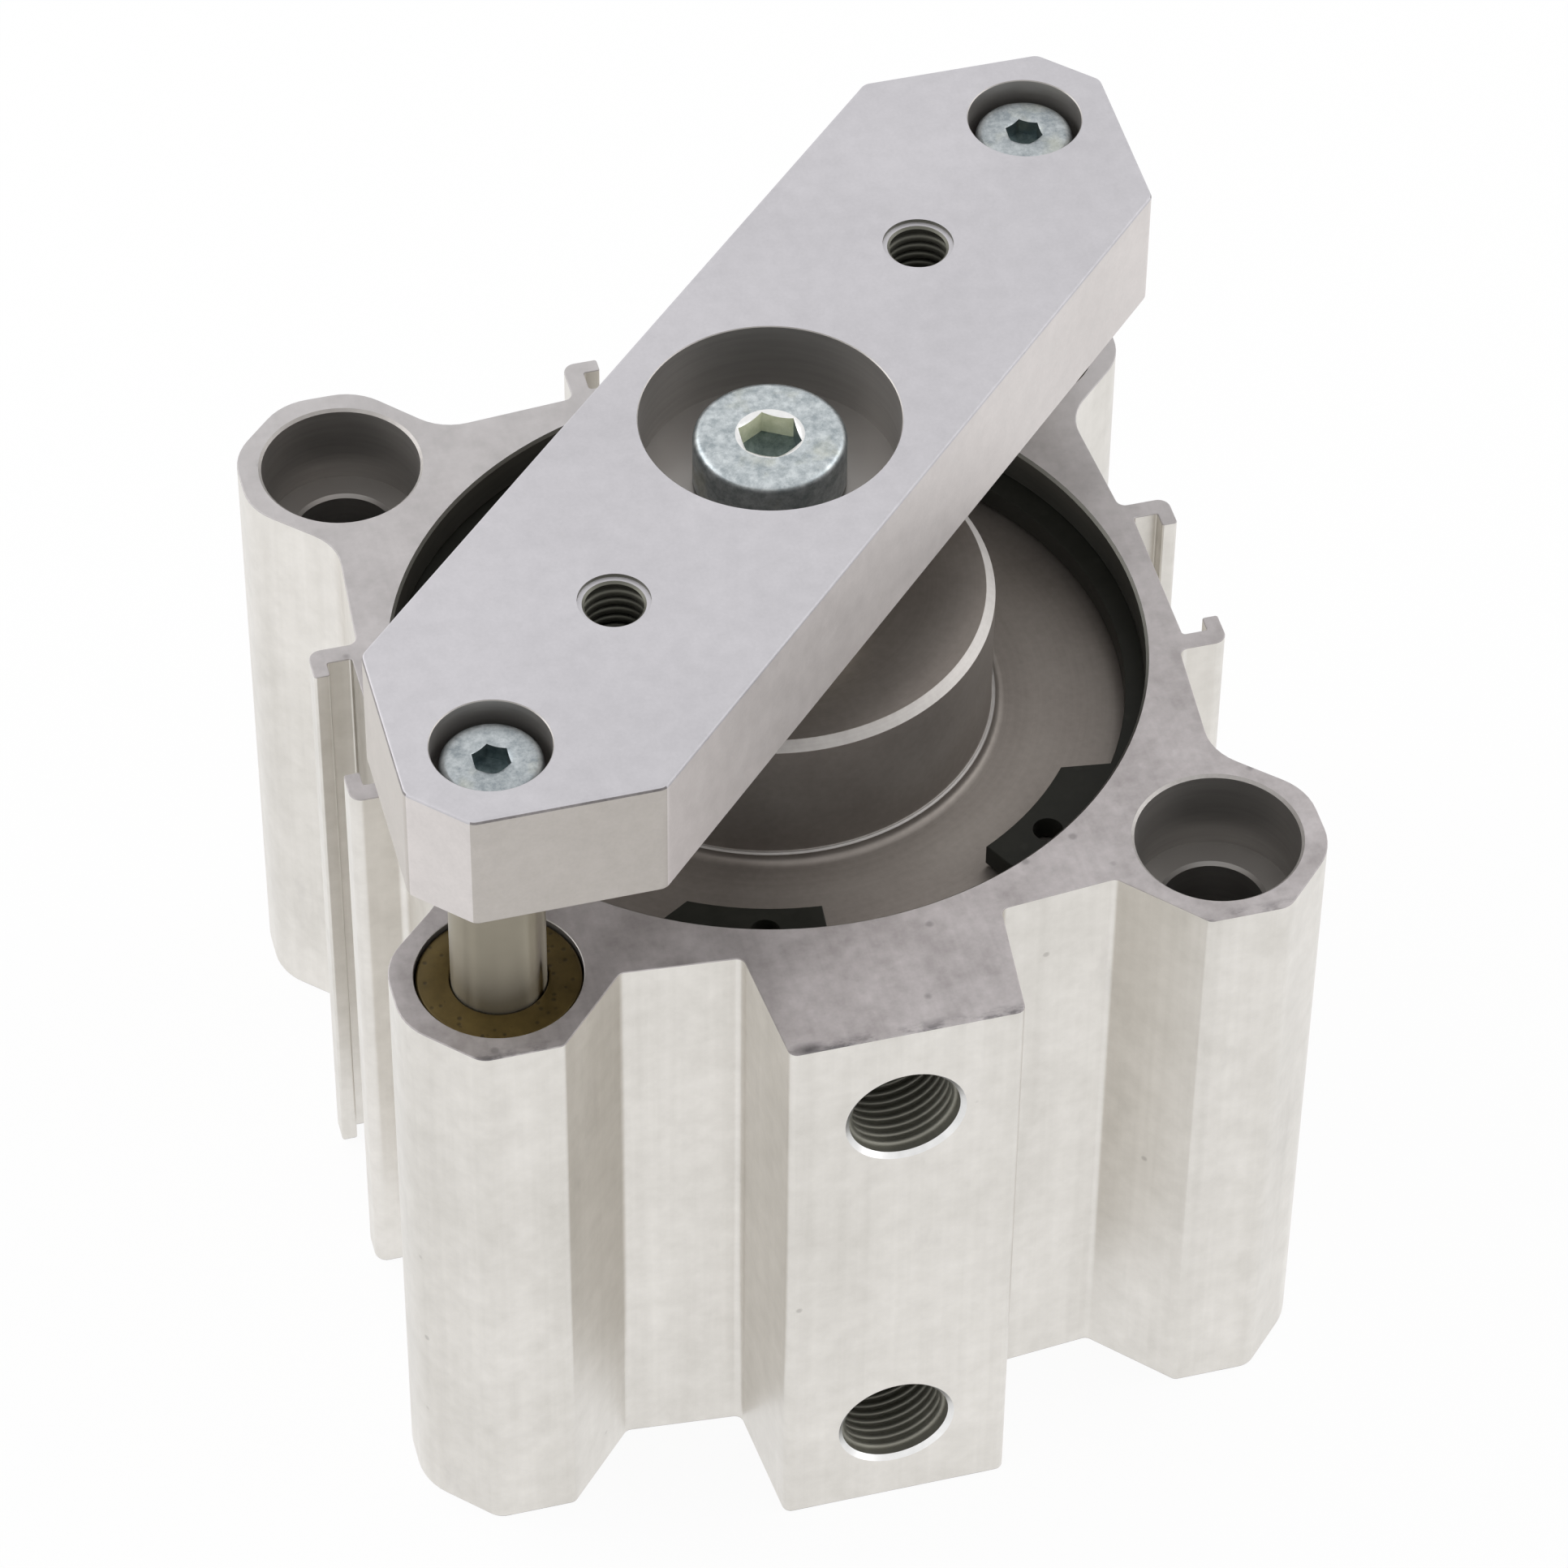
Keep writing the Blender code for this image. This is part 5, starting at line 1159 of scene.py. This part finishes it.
def make_screw(name, plating, mouth_finish, wall, seat, head, height, thread, socket, shank, at=(0.0, 0.0)):
    crown = seat + 0.3 * MM + height
    bearing = seat + 0.3 * MM
    corners = [
        (0.0, crown, 0.0),
        (head, crown, 0.8 * MM),
        (head, bearing, 0.15 * MM),
        (thread, bearing, 0.0),
        (thread, bearing - shank, 0.4 * MM),
        (0.0, bearing - shank, 0.0),
    ]
    screw = turned(name, rounded(corners, closed=False, steps=4), plating, steps=96, at=at)
    depth = height * 0.45
    wide, rise = socket * 0.61, socket * 0.35
    cone = turned("mouth", [(0.0, crown + rise), (2 * wide, crown + rise), (0.0, crown - rise)],
                  mouth_finish, steps=64, at=at)
    tip = turned("drill_point", [(0.0, crown - depth + 0.1 * MM), (socket * 0.46, crown - depth + 0.1 * MM),
                                 (0.0, crown - depth - socket * 0.2)], socket_shade_finish, steps=48, at=at)
    hexagon = hexagon_cutter(socket, crown - depth, crown + OVERRUN, at, wall)
    return drilled(screw, hexagon, cone, tip)


centre_screw = make_screw("centre_screw_surface", zinc_finish, machined_finish, socket_lit_wall_finish, CENTRE_SEAT, 6.5 * MM, 5.0 * MM, 3.9 * MM, 4.8 * MM,
                          20.0 * MM, (0.0, AXIS_Y))
settle(centre_screw, "moving_unit", "zinc_steel", "centre_screw")
guide_screw = make_screw("guide_screw", shaded_zinc_finish, shaded_zinc_finish, socket_shade_finish, GUIDE_SEAT, 4.25 * MM, 3.5 * MM, 2.4 * MM, 2.9 * MM, 16.0 * MM)
guide_screws = paired(guide_screw, shaded_zinc_finish, repaint=False)
print("the screws keep", [slot.name for slot in guide_screws.material_slots])
settle(guide_screws, "moving_unit", "zinc_steel", *["guide_screw_" + corner for corner in corner_names])

# %% [markdown]
# ## The piston rod and its seal
# Between the hub and the plate a short piece of the rod shows, with two flats for a wrench. It is
# seen only from low angles, and more of it when the cylinder extends.

# %% The rod and the seal
def make_rod():
    top = PLATE_LOW + 0.7 * MM
    shoulder = 35.0 * MM
    corners = [(0.0, top, 0.0), (ROD_RADIUS, top, 0.5 * MM), (ROD_RADIUS, shoulder, 0.1 * MM),
               (5.5 * MM, shoulder, 0.1 * MM), (5.5 * MM, 25.0 * MM, 0.2 * MM), (0.0, 25.0 * MM, 0.0)]
    rod = turned("piston_rod_surface", rounded(corners, closed=False), chrome_finish, steps=128)
    flats = []
    for side in (-1, 1):
        near, far = side * 6.5 * MM, side * 10.0 * MM
        square = [(near, -ROD_RADIUS - OVERRUN), (far, -ROD_RADIUS - OVERRUN), (far, ROD_RADIUS + OVERRUN),
                  (near, ROD_RADIUS + OVERRUN)]
        flats.append(extruded("flat_%d" % side, square, PLATE_LOW - 6.2 * MM, PLATE_LOW - 1.2 * MM))
    return drilled(rod, *flats)


def make_rod_seal():
    inner = ROD_RADIUS + 0.1 * MM
    outer = SEAL_SEAT_RADIUS - 0.15 * MM
    high = HUB_TOP - 0.4 * MM
    low = high - 6.0 * MM
    corners = [(inner, high, 0.1 * MM), (inner + 0.7 * MM, high, 0.2 * MM), (outer - 0.7 * MM, high - 0.7 * MM, 0.2 * MM),
               (outer, high - 0.7 * MM, 0.15 * MM), (outer, low, 0.2 * MM), (inner, low, 0.2 * MM)]
    return turned("rod_seal_surface", rounded(corners), seal_finish, steps=96)


settle(make_rod(), "moving_unit", "rod_steel", "piston_rod")
settle(make_rod_seal(), "barrel", "seal_rubber", "rod_seal")

# %% [markdown]
# ## The inner pieces
# The piston, its magnet, seals and stops lie inside the body. Their solids are right as they are,
# so they only change their material.

# %% Dress the inner pieces
inner_finishes = {
    turned_finish: ("piston_front_half", "piston_rear_half"),
    magnet_finish: ("piston_magnet",),
    bearing_finish: ("piston_guide_ring",),
    seal_finish: ("piston_seal_front", "piston_seal_rear", "rod_o_ring", "front_cover_o_ring", "rear_cover_o_ring"),
    bumper_finish: ("front_bumper", "rear_bumper"),
    bronze_finish: ("rod_bush",),
    zinc_finish: ("piston_screw",),
}
for finish, names in inner_finishes.items():
    for name in names:
        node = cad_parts[name]
        for slot in node.material_slots:
            slot.material = finish
print("dressed", sum(len(names) for names in inner_finishes.values()), "inner solids")

# %% [markdown]
# ## The studio
# The photograph was taken in a white light tent. A large pale floor carries the object and the
# world lights it evenly. Three soft area lamps give the metal its direction, and two narrow
# strips in front draw upright lines on the rods. Camera and glossy rays see a white background
# on the floor too: a face that looks down on the floor mirrors it once and stays bright, while
# the flanks of the recesses mirror each other first and grow darker with every bounce.

# %% Floor and background
def background_strength(tree, *kinds):
    """1 for camera rays and the named kinds of rays, and 0 for the others."""
    rays = tree.nodes.new("ShaderNodeLightPath")
    largest = rays.outputs["Is Camera Ray"]
    for kind in kinds:
        either = tree.nodes.new("ShaderNodeMath")
        either.operation = "MAXIMUM"
        tree.links.new(largest, either.inputs[0])
        tree.links.new(rays.outputs[kind], either.inputs[1])
        largest = either.outputs[0]
    return largest


def make_floor():
    shape = bmesh.new()
    bmesh.ops.create_grid(shape, x_segments=1, y_segments=1, size=2.5)
    bmesh.ops.translate(shape, verts=shape.verts, vec=(0.0, 0.0, -0.05 * MM))
    mesh = bpy.data.meshes.new("studio_floor")
    shape.to_mesh(mesh)
    shape.free()
    material = bpy.data.materials.new("white_floor")
    material.use_nodes = True
    tree = material.node_tree
    tree.nodes.clear()
    paint_node = tree.nodes.new("ShaderNodeBsdfDiffuse")
    paint_node.inputs["Color"].default_value = (0.8, 0.8, 0.8, 1.0)
    glow = tree.nodes.new("ShaderNodeEmission")
    blend = tree.nodes.new("ShaderNodeMixShader")
    share = tree.nodes.new("ShaderNodeMath")
    share.operation = "MULTIPLY"
    share.inputs[1].default_value = 0.93
    tree.links.new(background_strength(tree, "Is Glossy Ray"), share.inputs[0])
    tree.links.new(share.outputs[0], blend.inputs[0])
    tree.links.new(paint_node.outputs[0], blend.inputs[1])
    tree.links.new(glow.outputs[0], blend.inputs[2])
    output = tree.nodes.new("ShaderNodeOutputMaterial")
    tree.links.new(blend.outputs[0], output.inputs["Surface"])
    floor = bpy.data.objects.new("studio_floor", mesh)
    bpy.context.scene.collection.objects.link(floor)
    mesh.materials.append(material)


make_floor()


# %% World and lamps
WORLD_LIGHT = 0.86


def make_world():
    world = bpy.data.worlds.new("light_tent")
    bpy.context.scene.world = world
    world.use_nodes = True
    tree = world.node_tree
    sky = tree.nodes["Background"]
    sky.inputs["Color"].default_value = (1.0, 1.0, 1.0, 1.0)
    strength = tree.nodes.new("ShaderNodeMapRange")
    seen = background_strength(tree, "Is Glossy Ray", "Is Transmission Ray")
    tree.links.new(seen, strength.inputs["Value"])
    strength.inputs["To Min"].default_value = WORLD_LIGHT
    strength.inputs["To Max"].default_value = 1.0
    tree.links.new(strength.outputs["Result"], sky.inputs["Strength"])


def add_lamp(name, place, aim, size, power, colour):
    lamp = bpy.data.lights.new(name, "AREA")
    lamp.shape = "RECTANGLE"
    lamp.size = size[0]
    lamp.size_y = size[1]
    lamp.energy = power
    lamp.color = colour
    holder = bpy.data.objects.new(name, lamp)
    bpy.context.scene.collection.objects.link(holder)
    towards = Vector(aim) - Vector(place)
    holder.matrix_world = Matrix.Translation(place) @ towards.to_track_quat("-Z", "Y").to_matrix().to_4x4()
    print(name, "shines", power, "W")


make_world()
MIDDLE = (0.0, 0.0, 0.045)
add_lamp("left_back_softbox", (-0.75, 0.65, 0.45), MIDDLE, (0.9, 0.9), 4.5, (1.0, 1.0, 1.0))
add_lamp("left_softbox", (-0.97, 0.22, 0.30), MIDDLE, (0.7, 0.7), 2.4, (1.0, 1.0, 1.0))
add_lamp("left_strip", (-0.90, -0.45, 0.25), MIDDLE, (0.3, 0.8), 0.9, (1.0, 1.0, 1.0))
add_lamp("right_strip", (0.85, -0.55, 0.25), MIDDLE, (0.3, 0.8), 0.8, (1.0, 1.0, 1.0))
add_lamp("right_softbox", (1.0, 0.0, 0.45), MIDDLE, (0.9, 0.9), 4.5, (1.0, 1.0, 1.0))

# %% [markdown]
# ## Last settings
# The view transform stays plain, so a colour renders as it is written. The last line prints how
# many pieces were made.

# %% Finish
bpy.context.scene.view_settings.view_transform = "Standard"
print("pieces made:", len(made_pieces))
